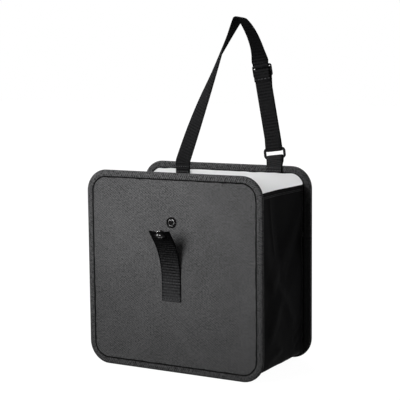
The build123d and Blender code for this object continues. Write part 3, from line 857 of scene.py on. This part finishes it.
def bent(corners):
    """Points of straight runs joined by arcs: corners are pairs of a place and its bend's radius."""
    points = [corners[0][0]]
    for (before, _), (corner, radius), (after, _) in zip(corners, corners[1:], corners[2:]):
        back, on = unit(before - corner), unit(after - corner)
        half = math.acos(np.clip(back @ on, -1, 1)) / 2
        centre = corner + unit(back + on) * radius / math.sin(half)
        first, last = (corner + way * radius / math.tan(half) - centre for way in (back, on))
        for share in np.linspace(0, 1, 13):
            points.append(centre + unit(first * (1 - share) + last * share) * radius)
    return np.array(points + [corners[-1][0]])


def turned(route, degrees):
    """Direction across a run: at 0 degrees it lies in the loop's own plane, at 90 it points to the front."""
    ahead = unit(np.gradient(route, axis=0))
    beside = np.stack([ahead[:, 2], 0 * ahead[:, 0], -ahead[:, 0]], -1)
    turn = np.radians(degrees)[:, None]
    return beside * np.cos(turn) + FORWARD * np.sin(turn)


def turning(route, low, first, high, last):
    """Direction across a run that turns from one to another between two heights."""
    share = np.clip((route[:, 2] - low) / (high - low), 0, 1)[:, None]
    return first * (1 - share) + last * share


print("route helpers ready")

# %% [markdown]
# ## Over the top
# The hanging strap starts at a sewn foot, rises and twists a quarter turn, folds over the top and untwists
# on its way down to the slider. A simulated band would be hard to bring to one shape, so each run is a
# curve between the same named places that the solid model uses, with its own direction across.

# %% Lead the strap over the top
FOOT_X = -58.0
TOP_LEAN, LATE_TWIST = 10.0, 1.55                         # of the left run, which twists most near its top
FULL_TWIST, SLOW_TWIST, TWIST_DECAY = 83.0, 24.0, 6.5     # of the right run, most just above the slider
BAR_THICK, WRAP_GAP = 2.6, 0.25
SLIDER_BAR, SLIDER_SLOT = 2.6, 3.6
SLIDER_PITCH = SLIDER_BAR + SLIDER_SLOT
FRONT_OF_BAR = BAR_THICK / 2 + WRAP_GAP + STRAP_THICK / 2


def strap_crown():
    """The strap's foot, left run, top fold and right run, each with its direction across."""
    foot_length, apex_x, apex_rise, apex_radius = 45.0, 23.1, 175.0, 3.2
    lean, rise, fall = (math.radians(angle) for angle in (21.0, 34.0, 43.0))
    leave_share, arrive_share = 0.47, 0.2
    centre = np.array([apex_x, INNER_FACE - STRAP_THICK / 2,
                       PANEL_HALF + apex_rise - apex_radius - STRAP_THICK / 2])
    rim = np.array([FOOT_X, centre[1], PANEL_HALF])
    foot = np.linspace(rim - UP * foot_length, rim, 30)
    top_in = centre + np.array([-math.cos(rise), 0, math.sin(rise)]) * apex_radius
    top_out = centre + np.array([math.cos(fall), 0, math.sin(fall)]) * apex_radius
    chord = np.linalg.norm(top_in - rim)
    left, = even(curve(rim, rim + np.array([math.sin(lean), 0, math.cos(lean)]) * chord * leave_share,
                       top_in - np.array([math.sin(rise), 0, math.cos(rise)]) * chord * arrive_share, top_in))
    angles = np.linspace(math.pi - rise, fall, 24)[:, None]
    fold = centre + apex_radius * np.concatenate([np.cos(angles), 0 * angles, np.sin(angles)], 1)
    entry = SLIDER_SEAT.at(SLIDER_PITCH + SLIDER_BAR, FRONT_OF_BAR)
    third = np.linalg.norm(top_out - entry) / 3
    right, = even(curve(top_out, top_out + np.array([math.sin(fall), 0, -math.cos(fall)]) * third,
                        entry + SLIDER_SEAT.y * third, entry))
    left_share, right_share = (lengths(run) / lengths(run)[-1] for run in (left, right))
    quick = (FULL_TWIST - SLOW_TWIST) * np.exp((lengths(right) - lengths(right)[-1]) / TWIST_DECAY)
    return [(foot, np.tile(RIGHT, (30, 1))),
            (left, turned(left, (90 + TOP_LEAN) * left_share ** LATE_TWIST)),
            (fold, turned(fold, 90 + TOP_LEAN * np.linspace(1, 0, 24))),
            (right, turned(right, 90 - SLOW_TWIST * np.sqrt(right_share) - quick))]


CROWN = strap_crown()
CROWN_LENGTH = sum(lengths(route)[-1] for route, _ in CROWN)
print(f"strap over the top: {CROWN_LENGTH:.0f} mm")

# %% [markdown]
# ## Through the slider and round the ring
# The strap goes through the slider, down behind, round the ring and back up in front, and its end is sewn
# round the slider's middle bar. Threading it by a simulation would be slow and never quite the same, so the
# route is a list of corners in the seats' own axes, with an arc at each.

# %% Lead it through the slider and round the ring
WRAP_TURN = 0.8
RING_BAR, RING_OPENING = 3.2, 7.2
SLIDER_EDGE = SLIDER_PITCH + SLIDER_BAR / 2
TAIL_END = SLIDER_EDGE + 4.7
LAYER_STEP = STRAP_THICK + 2 * WRAP_GAP


def strap_lower():
    """From the slider's top bar down behind, round the ring, up in front and round the middle bar."""
    closing, parting, bend, tail_bend = 12.5, RING_OPENING / 2 + RING_BAR + 11.0, 10.0, 3.0
    front, rear = FRONT_OF_BAR, -FRONT_OF_BAR - LAYER_STEP
    wrap, ring_bar = RING_BAR / 2 + WRAP_GAP + STRAP_THICK / 2, (RING_OPENING + RING_BAR) / 2
    slot = SLIDER_BAR / 2 + SLIDER_SLOT - STRAP_THICK / 2 - WRAP_GAP
    loop = SLIDER_BAR / 2 + WRAP_GAP + STRAP_THICK / 2
    tight, turn = STRAP_THICK, wrap * WRAP_TURN
    slider, ring = SLIDER_SEAT.at, RING_SEAT.at
    route = bent([
        (slider(SLIDER_PITCH + SLIDER_BAR, front), 0),
        (slider(slot, front), tight), (slider(slot, rear), tight),
        (slider(-SLIDER_PITCH, rear), bend), (slider(-SLIDER_EDGE - closing, front - LAYER_STEP), bend),
        (ring(parting, -LAYER_STEP / 2), bend), (ring(ring_bar - wrap, -wrap), turn),
        (ring(ring_bar - wrap, wrap), turn), (ring(parting, LAYER_STEP / 2), bend),
        (slider(-slot, front), tight), (slider(-slot, -front), tight),
        (slider(loop, -front), loop * WRAP_TURN), (slider(loop, front), loop * WRAP_TURN),
        (slider(-STRAP_THICK / 2, front), tail_bend), (slider(-slot, front + LAYER_STEP), tail_bend),
        (slider(-TAIL_END, front + LAYER_STEP), 0)])
    low = RING_SEAT.origin[2] + RING_OPENING / 2 + RING_BAR + STRAP_THICK
    high = SLIDER_SEAT.origin[2] - SLIDER_BAR / 2 - TAIL_END - STRAP_THICK
    return route, turning(route, low, -RING_SEAT.x, high, -SLIDER_SEAT.x)


LOWER = strap_lower()
print(f"strap below the slider's top bar: {lengths(LOWER[0])[-1]:.0f} mm")

# %% [markdown]
# ## The strap in pieces
# On the real strap the slider travels along the doubled run. So the band is cut where nothing shows: the
# foot, left run and fold stay with the back panel, the right run is left without a body, what is wound round
# the slider rides on it, and the doubled run and the loop round the ring stay with the back panel.

# %% Make the hanging strap
LEFT_CUP, LATE_CUP, CUP_HOLD = 2.9, 2.3, 0.5
FOOT_GAP, TOP_GAP = 2.0, 0.5     # between the doubled run and ring or slider


def joined(runs):
    """Several runs as one route, with the shared end points once."""
    routes = [runs[0][0]] + [route[1:] for route, _ in runs[1:]]
    sides = [runs[0][1]] + [side[1:] for _, side in runs[1:]]
    return np.concatenate(routes), np.concatenate(sides)


def strap_band(name, route, across, start, cup=0.0):
    return band(name, route, across, STRAP_WIDTH, STRAP_THICK, STRAP_WEB, start, cup, CUP_HOLD)


left_route, left_across = even(*joined(CROWN[:3]))
foot_length, run_length = (lengths(route)[-1] for route, _ in CROWN[:2])
run_share = np.clip((lengths(left_route) - foot_length) / run_length, 0, 1)
left_cup = LEFT_CUP * np.sin(math.pi * run_share ** LATE_CUP)
strap_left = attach(strap_band("strap_left", left_route, left_across, 0, left_cup), "back")
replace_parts(strap_left, "hanging_strap")

right_route, right_across = even(*CROWN[3])
strap_right = strap_band("strap_right", right_route, right_across, lengths(left_route)[-1])
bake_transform(strap_right)

lower_route, lower_across = even(*LOWER)
run_height = (lower_route - RING_SEAT.origin) @ SLIDER_SEAT.y
RUN_FOOT = RING_OPENING / 2 + RING_BAR + FOOT_GAP
RUN_TOP = (SLIDER_SEAT.origin - RING_SEAT.origin) @ SLIDER_SEAT.y - TAIL_END - TOP_GAP
in_run = np.flatnonzero(np.diff(((run_height > RUN_FOOT) & (run_height < RUN_TOP)).astype(int)))
cuts = [0, *(in_run + 1), len(lower_route) - 1]
for number, (name, carrier) in enumerate([("strap_through_slider", "slider"), ("strap_run_behind", "back"),
                                          ("strap_round_ring", "back"), ("strap_run_front", "back"),
                                          ("strap_round_bar", "slider")]):
    stretch = slice(cuts[number], cuts[number + 1] + 1)
    start = CROWN_LENGTH + lengths(lower_route)[cuts[number]]
    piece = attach(strap_band(name, lower_route[stretch], lower_across[stretch], start), carrier)
    if "run" in name:
        run = (RUN_TOP - RUN_FOOT) * MM
        (run - max(JOINTS["slider_travel"]["range_m"])) / run
        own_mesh(piece)

# %% [markdown]
# ## Ring tab and front tab
# The ring hangs in a short loop of the same webbing, sewn inside the back panel's rim, and its finish is a
# lighter version of the strap's with painted light. The front tab is wider. It is sewn flat at its lower end,
# bends out from the panel, and its tip is slightly dished where the snap pulls it.

# %% Make the two tabs
def ring_tab():
    wrap, bar = RING_BAR / 2 + WRAP_GAP + STRAP_THICK / 2, -(RING_OPENING + RING_BAR) / 2
    foot = 8.0
    rear = np.array([RING_X, INNER_FACE - STRAP_THICK / 2, PANEL_HALF])
    front = rear + FORWARD * (STRAP_THICK + WRAP_GAP)
    ring, turn = RING_SEAT.at, wrap * WRAP_TURN
    route = bent([(rear - UP * foot, 0), (rear, STRAP_THICK), (ring(bar - wrap, -wrap), STRAP_THICK),
                  (ring(bar + wrap, -wrap), turn), (ring(bar + wrap, wrap), turn),
                  (ring(bar - wrap, wrap), STRAP_THICK), (front, STRAP_THICK), (front - UP * foot, 0)])
    low, high = PANEL_HALF + STRAP_THICK / 2, ring(bar - wrap, -wrap)[2] - STRAP_THICK / 2
    across = turning(route, low, RIGHT, high, RING_SEAT.x)
    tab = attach(band("ring_loop", *even(route, across), STRAP_WIDTH, STRAP_THICK, RING_WEB_PAINTED_LIGHT), "back")
    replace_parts(tab, "ring_tab")


TAB_X, TAB_LOW, TAB_SEWN, TAB_WIDTH, TAB_THICK = -1.0, -32.0, 23.0, 25.0, 1.3
TAB_TIP, SNAP_TO_TIP, STUD_HEIGHT = 18.0, 6.5, 58.5
TIP_DISH, DISH_REACH = 1.3, 30.0
FRONT_FACE = FRONT_MIDDLE - PANEL_THICK / 2


def front_tab():
    lean, bend = math.radians(9.5), math.radians(48.0)
    radius = (STUD_HEIGHT - TAB_LOW - TAB_SEWN + SNAP_TO_TIP - TAB_TIP) / bend
    out = np.array([math.sin(lean), -math.cos(lean), 0])
    low = np.array([TAB_X, FRONT_FACE - TAB_THICK / 2, TAB_LOW])
    turn = np.linspace(0, bend, 60)[:, None]
    arc = low + UP * TAB_SEWN + out * radius * (1 - np.cos(turn)) + UP * radius * np.sin(turn)
    tip = arc[-1] + (out * math.sin(bend) + UP * math.cos(bend)) * TAB_TIP
    route, = even(np.concatenate([[low], arc, [tip]]))
    leaned = np.array([math.cos(lean), math.sin(lean), 0])
    to_tip = lengths(route)[-1] - lengths(route)
    cup = TIP_DISH * np.clip(1 - to_tip / DISH_REACH, 0, 1) ** 2
    across = turning(route, arc[0, 2], RIGHT, arc[-1, 2], leaned)
    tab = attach(band("snap_tab", route, across, TAB_WIDTH, TAB_THICK, TAB_WEB, 0, cup), "front")
    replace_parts(tab, "front_tab")


ring_tab()
front_tab()

# %% [markdown]
# ## Moulded loops
# Ring and slider are moulded plastic with rounded bars. A bevel on a solid only cuts the edges, so each is
# swept anew: the outline of the hole and the outline of the outside run side by side, and a rounded section
# spans between them.

# %% Helpers for moulded loops
LOOP_SHIFT = 0.4     # of ring and slider to the right of the strap's middle


def rounded_rectangle(width, height, radius):
    """Points round a rectangle with rounded corners: 9 on each corner, joined by straight sides."""
    corners = [(1, 1), (-1, 1), (-1, -1), (1, -1)]
    angles = np.linspace(0, math.pi / 2, 9)
    points = []
    for number, (sign_x, sign_y) in enumerate(corners):
        turn = angles + number * math.pi / 2
        points += [(sign_x * (width / 2 - radius) + radius * np.cos(angle),
                    sign_y * (height / 2 - radius) + radius * np.sin(angle)) for angle in turn]
    return np.array(points)


def rounded_section(steps=20, square=0.55):
    """Pairs from -1 to 1 round a bar's section: a square with well rounded corners."""
    turn = np.arange(steps) * 2 * math.pi / steps
    return [np.sign(value) * np.abs(value) ** square for value in (np.cos(turn), np.sin(turn))]


def moulded_loop(seat, outside, inside):
    """Points and faces of a flat loop between two outlines, with a rounded section."""
    wide, thick = rounded_section()
    middle, half = (outside + inside) / 2, (outside - inside) / 2
    flat = middle[:, None] + half[:, None] * wide[None, :, None]
    out = BAR_THICK / 2 * np.broadcast_to(thick, flat.shape[:2])
    middle = seat.at(0, 0, LOOP_SHIFT)
    points = middle + flat[..., :1] * seat.x + flat[..., 1:] * seat.y + out[..., None] * seat.z
    return points.reshape(-1, 3), quads(*flat.shape[:2], 0, True, True)


def moulded_bar(seat, reach, height):
    """Points and faces of a straight bar across a loop, its closed ends inside the loop's sides."""
    wide, thick = rounded_section()
    along = np.linspace(-reach, reach, 12)
    shrink = np.where(np.abs(along) > reach - 0.01, 0.0, 1.0)[:, None]
    up, out = height / 2 * wide[None, :] * shrink, BAR_THICK / 2 * thick[None, :] * shrink
    points = (seat.at(0, 0, LOOP_SHIFT) + along[:, None, None] * seat.x + up[..., None] * seat.y
              + out[..., None] * seat.z)
    return points.reshape(-1, 3), quads(*up.shape, 0, False, True)


print("moulding helpers ready")

# %% [markdown]
# ## Ring and slider
# The ring is one such loop. The slider is a loop with a bar across its middle, which holds the strap's end.
# In the mould they are one. Here the bar's closed ends sit inside the loop's sides, which looks the same
# and needs no boolean.

# %% Mould ring and slider
RING_SIDE, SLIDER_SIDE = 2.9, 1.5
SPAN = STRAP_WIDTH + 1.2     # between the sides

ring_height = RING_OPENING + 2 * RING_BAR
ring = make_piece("strap_ring", *moulded_loop(
    RING_SEAT, rounded_rectangle(SPAN + 2 * RING_SIDE, ring_height, RING_SIDE + RING_BAR / 2),
    rounded_rectangle(SPAN, RING_OPENING, RING_BAR / 3)), PLASTIC)
take_place(ring, "back", "ring")

slider_height = 2 * SLIDER_SLOT + 3 * SLIDER_BAR
loop_points, loop_faces = moulded_loop(
    SLIDER_SEAT, rounded_rectangle(SPAN + 2 * SLIDER_SIDE, slider_height, SLIDER_SIDE + SLIDER_BAR / 2),
    rounded_rectangle(SPAN, slider_height - 2 * SLIDER_BAR, SLIDER_BAR / 4))
bar_points, bar_faces = moulded_bar(SLIDER_SEAT, SPAN / 2 + SLIDER_SIDE / 2, SLIDER_BAR)
slider = make_piece("strap_slider", np.concatenate([loop_points, bar_points]),
                    np.concatenate([loop_faces, bar_faces + len(loop_points)]), PLASTIC)
take_place(slider, "slider", "slider")

# %% [markdown]
# ## Stitches
# Hundreds of stitches hold the bin together: along the tape on both faces of a panel, along the hems and
# seams of the gusset, and in the feet of strap and tabs. They repeat along lines, so Geometry Nodes place
# them: points at even steps on a line, one small thread at each, turned along the line and lying on the
# cloth, uneven by a fixed seed.

# %% A tree that sews along lines
BEAD_SEGMENTS, BEAD_RINGS = 8, 5


def stitch_tree():
    tree = bpy.data.node_groups.new("stitch_row", "GeometryNodeTree")
    inputs = {"Geometry": "Geometry", "Pitch": "Float", "Length": "Float", "Radius": "Float", "Lean": "Float",
              "Seed": "Int", "Thread": "Material"}
    for name, kind in inputs.items():
        tree.interface.new_socket(name, in_out="INPUT", socket_type=f"NodeSocket{kind}")
    tree.interface.new_socket("Geometry", in_out="OUTPUT", socket_type="NodeSocketGeometry")
    entry = Wire(tree).node("NodeGroupInput")
    given = {name: entry.also(name) for name in inputs}
    rows = entry.node("GeometryNodeMeshToCurve", None, {"Mesh": given["Geometry"]})
    holes = rows.node("GeometryNodeCurveToPoints", {"mode": "LENGTH"},
                      {"Curve": rows, "Length": given["Pitch"]})
    outward = rows.node("GeometryNodeInputNamedAttribute", {"data_type": "FLOAT_VECTOR"}, {"Name": "outward"})
    lying = rows.node("FunctionNodeAxesToRotation", {"primary_axis": "Z", "secondary_axis": "X"},
                      {"Primary Axis": outward, "Secondary Axis": holes.also("Tangent")})

    def uneven(low, high, step):
        return rows.node("FunctionNodeRandomValue", {"data_type": "FLOAT"},
                         {2: low, 3: high, "Seed": given["Seed"] + step}, output=1)

    slant = rows.node("FunctionNodeAxisAngleToRotation", None,
                      {"Axis": (0, 0, 1), "Angle": given["Lean"] + uneven(-0.12, 0.12, 1)})
    turned = rows.node("FunctionNodeRotateRotation", {"rotation_space": "LOCAL"},
                       {"Rotation": lying, "Rotate By": slant})
    size = rows.node("ShaderNodeCombineXYZ", None, {"X": given["Length"] * uneven(0.42, 0.52, 2),
                                                    "Y": given["Radius"] * uneven(0.9, 1.15, 3),
                                                    "Z": given["Radius"] * uneven(0.8, 1.1, 4)})
    bead = rows.node("GeometryNodeMeshUVSphere", None,
                     {"Segments": BEAD_SEGMENTS, "Rings": BEAD_RINGS, "Radius": 1.0})
    stitches = rows.node("GeometryNodeInstanceOnPoints", None,
                         {"Points": holes, "Instance": bead, "Rotation": turned, "Scale": size})
    smooth = rows.node("GeometryNodeSetShadeSmooth", None, {"Geometry": stitches})
    real = rows.node("GeometryNodeRealizeInstances", None, {"Geometry": smooth})
    threaded = rows.node("GeometryNodeSetMaterial", None, {"Geometry": real, "Material": given["Thread"]})
    leave = tree.nodes.new("NodeGroupOutput")
    tree.links.new(threaded.socket, leave.inputs["Geometry"])
    return tree


STITCHES = stitch_tree()
print("stitch tree:", len(STITCHES.nodes), "nodes")

# %% [markdown]
# ## Sewing rows
# The tree needs lines to sew along. A row is a chain of points that keeps, as an attribute, the direction
# that its cloth faces. The finished stitches become a plain mesh.

# %% Sew along rows
def sew(name, rows, thread, seed, pitch=STITCH_PITCH, length=2.7, radius=0.27, lean=0.0):
    """Stitches along rows: each is a line of points, its outward directions and whether it closes."""
    points, outward, edges = [], [], []
    for line, faces_to, closed in rows:
        first, count = len(points), len(line)
        points += list(np.asarray(line) * MM)
        outward += list(np.broadcast_to(faces_to, (count, 3)))
        edges += [(first + step, first + step + 1) for step in range(count - 1)]
        edges += [(first + count - 1, first)] if closed else []
    mesh = bpy.data.meshes.new(f"{name}_rows")
    mesh.from_pydata([tuple(point) for point in points], edges, [])
    mesh.attributes.new("outward", "FLOAT_VECTOR", "POINT").data.foreach_set(
        "vector", np.asarray(outward, np.float32).ravel())
    guide = add_object(f"{name}_rows", mesh)
    modifier = guide.modifiers.new("sew", "NODES")
    modifier.node_group = STITCHES
    sizes = {"Pitch": pitch * MM, "Length": length * MM, "Radius": radius * MM, "Lean": lean, "Seed": seed,
             "Thread": thread}
    for item in STITCHES.interface.items_tree:
        if item.in_out == "INPUT" and item.name in sizes:
            modifier[item.identifier] = sizes[item.name]
    sewn = bpy.data.meshes.new_from_object(guide.evaluated_get(bpy.context.evaluated_depsgraph_get()))
    bpy.data.objects.remove(guide)
    sewn.name = name
    print(f"{name}: {len(rows)} rows, {len(sewn.polygons) // (BEAD_SEGMENTS * BEAD_RINGS)} stitches")
    return add_object(name, sewn)


print("sewing ready")

# %% [markdown]
# ## Where the rows run
# A row is taken from the surface that it is sewn into: the tape's seam from the panel's outline, the
# gusset's rows from its folded grid, and the rows in webbing from the faces of strap and tabs. So every row
# stays on its cloth, and it moves as that cloth does.

# %% Find the rows
def tape_rows(middle):
    """The seam through a panel's tape, as it shows on both faces."""
    edge, outward, _ = panel_outline(TAPE_STEP)
    spot = edge - outward * TAPE_SEWN
    rows = []
    for side in (1, -1):
        y = np.full(len(spot), middle + side * (PANEL_THICK / 2 + TAPE_DIP))
        rows.append((np.stack([spot[:, 0], y, spot[:, 1]], -1), (0, side, 0), True))
    return rows


def gusset_rows():
    """Two rows along each hem and one beside each seam, on the gusset's outer face."""
    place, inward, depth, _ = GUSSET_GRID
    surface = place + inward[:, None] * (depth - 0.1)[..., None]
    rows = []
    for below_hem in (HEM - 1.2, HEM - 3.4):
        step = round(below_hem / GUSSET_STEP)
        rows += [(surface[row], -inward[row], False) for row in (step, len(surface) - 1 - step)]
    for seam in (2, surface.shape[1] - 3):
        rows.append((surface[:, seam], -inward, False))
    return rows


def box_row(x, y, low, high, half):
    """A box of stitches on an upright face that looks forward."""
    corners = [(x - half, low), (x + half, low), (x + half, high), (x - half, high)]
    return np.array([(left, y, height) for left, height in corners]), FORWARD, True


def across_row(x, y, height, half):
    """One row of stitches across a band on such a face."""
    return np.array([(x - half, y, height), (x + half, y, height)]), FORWARD, False


print("rows:", len(tape_rows(FRONT_MIDDLE)), "on each tape and", len(gusset_rows()), "on the gusset")

# %% [markdown]
# ## Sewing the bin
# The thread differs from seam to seam: black on the tape, grey on the gusset and the front tab, and lighter
# on the strap and its feet. Each seam's stitches are one piece that rides on the body of its cloth.

# %% Sew tape, gusset, strap and tabs
FOOT_BOX, FOOT_ROW, LOOP_ROWS = (73, 103), 109, (109.2, 112.6)     # heights of rows in the webbing's feet

for body, middle in (("front", FRONT_MIDDLE), ("back", BACK_MIDDLE)):
    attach(sew(f"{body}_tape_stitches", tape_rows(middle), BLACK_THREAD, 5), body)
fold_with_bin(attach(sew("gusset_stitches", gusset_rows(), GREY_THREAD, 6, pitch=3.0, length=2.6), "back"))

tab_face = FRONT_FACE - TAB_THICK
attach(sew("tab_stitches", [across_row(TAB_X, tab_face, TAB_LOW + rise, TAB_WIDTH / 2 - 1.5)
                             for rise in (2.4, TAB_SEWN - 1.5)],
            GREY_THREAD, 7, pitch=3.2, length=2.2, radius=0.3), "front")

strap_face = INNER_FACE - STRAP_THICK
loop_face = strap_face - STRAP_THICK - WRAP_GAP
foot_half, loop_half = STRAP_WIDTH / 2 - 2, STRAP_WIDTH / 2 - 1.5
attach(sew("strap_foot_stitches", [box_row(FOOT_X, strap_face, *FOOT_BOX, foot_half),
                                    across_row(FOOT_X, strap_face, FOOT_ROW, foot_half),
                                    *(across_row(RING_X, loop_face, height, loop_half)
                                      for height in LOOP_ROWS)],
            THREAD, 8, pitch=3.0, length=2.2, radius=0.3), "back")

tail_face = FRONT_OF_BAR + LAYER_STEP + STRAP_THICK / 2
tail_row = np.array([SLIDER_SEAT.at(2.4 - TAIL_END, tail_face, side) for side in (-loop_half, loop_half)])
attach(sew("tail_stitches", [(tail_row, SLIDER_SEAT.z, False)], THREAD, 9, pitch=3.6, length=2.6,
            radius=0.36), "slider")

# %% [markdown]
# ## Softboxes
# The photograph is a soft studio shot on white. One softbox stands close in front and above, so the front
# panel is lit most near its top, the right side stays dark and the tab throws a soft shadow on the panel.
# Three others reach where it doesn't: the left one the lining and the strap, the side one the gusset, the
# back one the rear and the edges.

# %% Hang the softboxes
# Name, place, what it looks at, size and power of each
SOFTBOXES = [
    ("key", Vector((-0.06, -0.50, 0.18)), Vector((0, -0.13, 0.2)), 0.2, 1.9),
    ("left", Vector((-0.50, -0.11, 0.35)), Vector((0, 0, 0.10)), 0.3, 2.7),
    ("side", Vector((0.55, 0.25, 0.45)), Vector((0.1, -0.06, 0)), 0.3, 1.05),
    ("back", Vector((-0.5, 0.8, 0.5)), Vector((0, 0, 0.05)), 0.5, 4.6),
]


def place_softbox(name, place, aim, size, watts):
    lamp = bpy.data.lights.new(name, "AREA")
    lamp.size = size
    lamp.energy = watts
    softbox = add_object(name, lamp)
    softbox.location = place
    softbox.rotation_euler = (aim - place).to_track_quat("-Z", "Y").to_euler()


for softbox in SOFTBOXES:
    place_softbox(*softbox)
print("softboxes:", [softbox[0] for softbox in SOFTBOXES])

# %% [markdown]
# ## World and floor
# White all round would throw light back into the bin's dark side. So the world is white only to rays that
# see it directly and otherwise a faint even fill. The floor shows white to the camera and takes a trace of
# the bin's shadow, but is dark enough to throw little light back.

# %% Light the world and lay the floor
WORLD_FILL = 0.05
FLOOR_REACH, FLOOR_GLOW = 6.0, 2.0
GLOW_NEAR, GLOW_FAR, GLOW_RISE = 0.48, 0.50, 1.5     # shares of the glow, and their rise per metre


def seen_directly(tree):
    """1 for rays that show the background itself: from the camera, a mirror or glass."""
    camera = Wire(tree).node("ShaderNodeLightPath", output="Is Camera Ray")
    mirror, glass = camera.also("Is Glossy Ray"), camera.also("Is Transmission Ray")
    return camera.math("MAXIMUM", camera, camera.math("MAXIMUM", mirror, glass))


def light_world():
    world = bpy.data.worlds.new("studio")
    bpy.context.scene.world = world
    world.use_nodes = True
    background = world.node_tree.nodes["Background"]
    background.inputs["Color"].default_value = (1, 1, 1, 1)
    strength = seen_directly(world.node_tree) * (1 - WORLD_FILL) + WORLD_FILL
    strength.feed(background.inputs["Strength"], strength)


def floor_white():
    """A dark floor that glows to rays that show it, a little less near the bin."""
    floor = Finish("floor_white", {"Base Color": (0.1, 0.1, 0.1, 1), "Roughness": 0.9})
    away = floor.place.node("ShaderNodeVectorMath", {"operation": "LENGTH"}, {0: floor.place}, output=1)
    share = away.math("MINIMUM", away * GLOW_RISE, 1.0) * (GLOW_FAR - GLOW_NEAR) + GLOW_NEAR
    glow = away.node("ShaderNodeEmission", None, {"Strength": FLOOR_GLOW})
    shown = away.node("ShaderNodeMixShader", None, {0: seen_directly(floor.tree) * share,
                                                    1: Wire(floor.tree, floor.shader.outputs[0]), 2: glow})
    shown.feed(floor.tree.nodes["Material Output"].inputs["Surface"], shown)
    return floor.material


def lay_floor():
    mesh = bpy.data.meshes.new("floor")
    mesh.from_pydata([(x * FLOOR_REACH, y * FLOOR_REACH, cad_box[0][2])
                      for x, y in ((-1, -1), (1, -1), (1, 1), (-1, 1))], [], [(0, 1, 2, 3)])
    mesh.materials.append(floor_white())
    add_object("floor", mesh)


light_world()
lay_floor()
print("world fill", WORLD_FILL, "and a floor", 2 * FLOOR_REACH, "m wide")

# %% [markdown]
# ## Last update
# The view layer is updated once more.

# %% Update the view layer
bpy.context.view_layer.update()
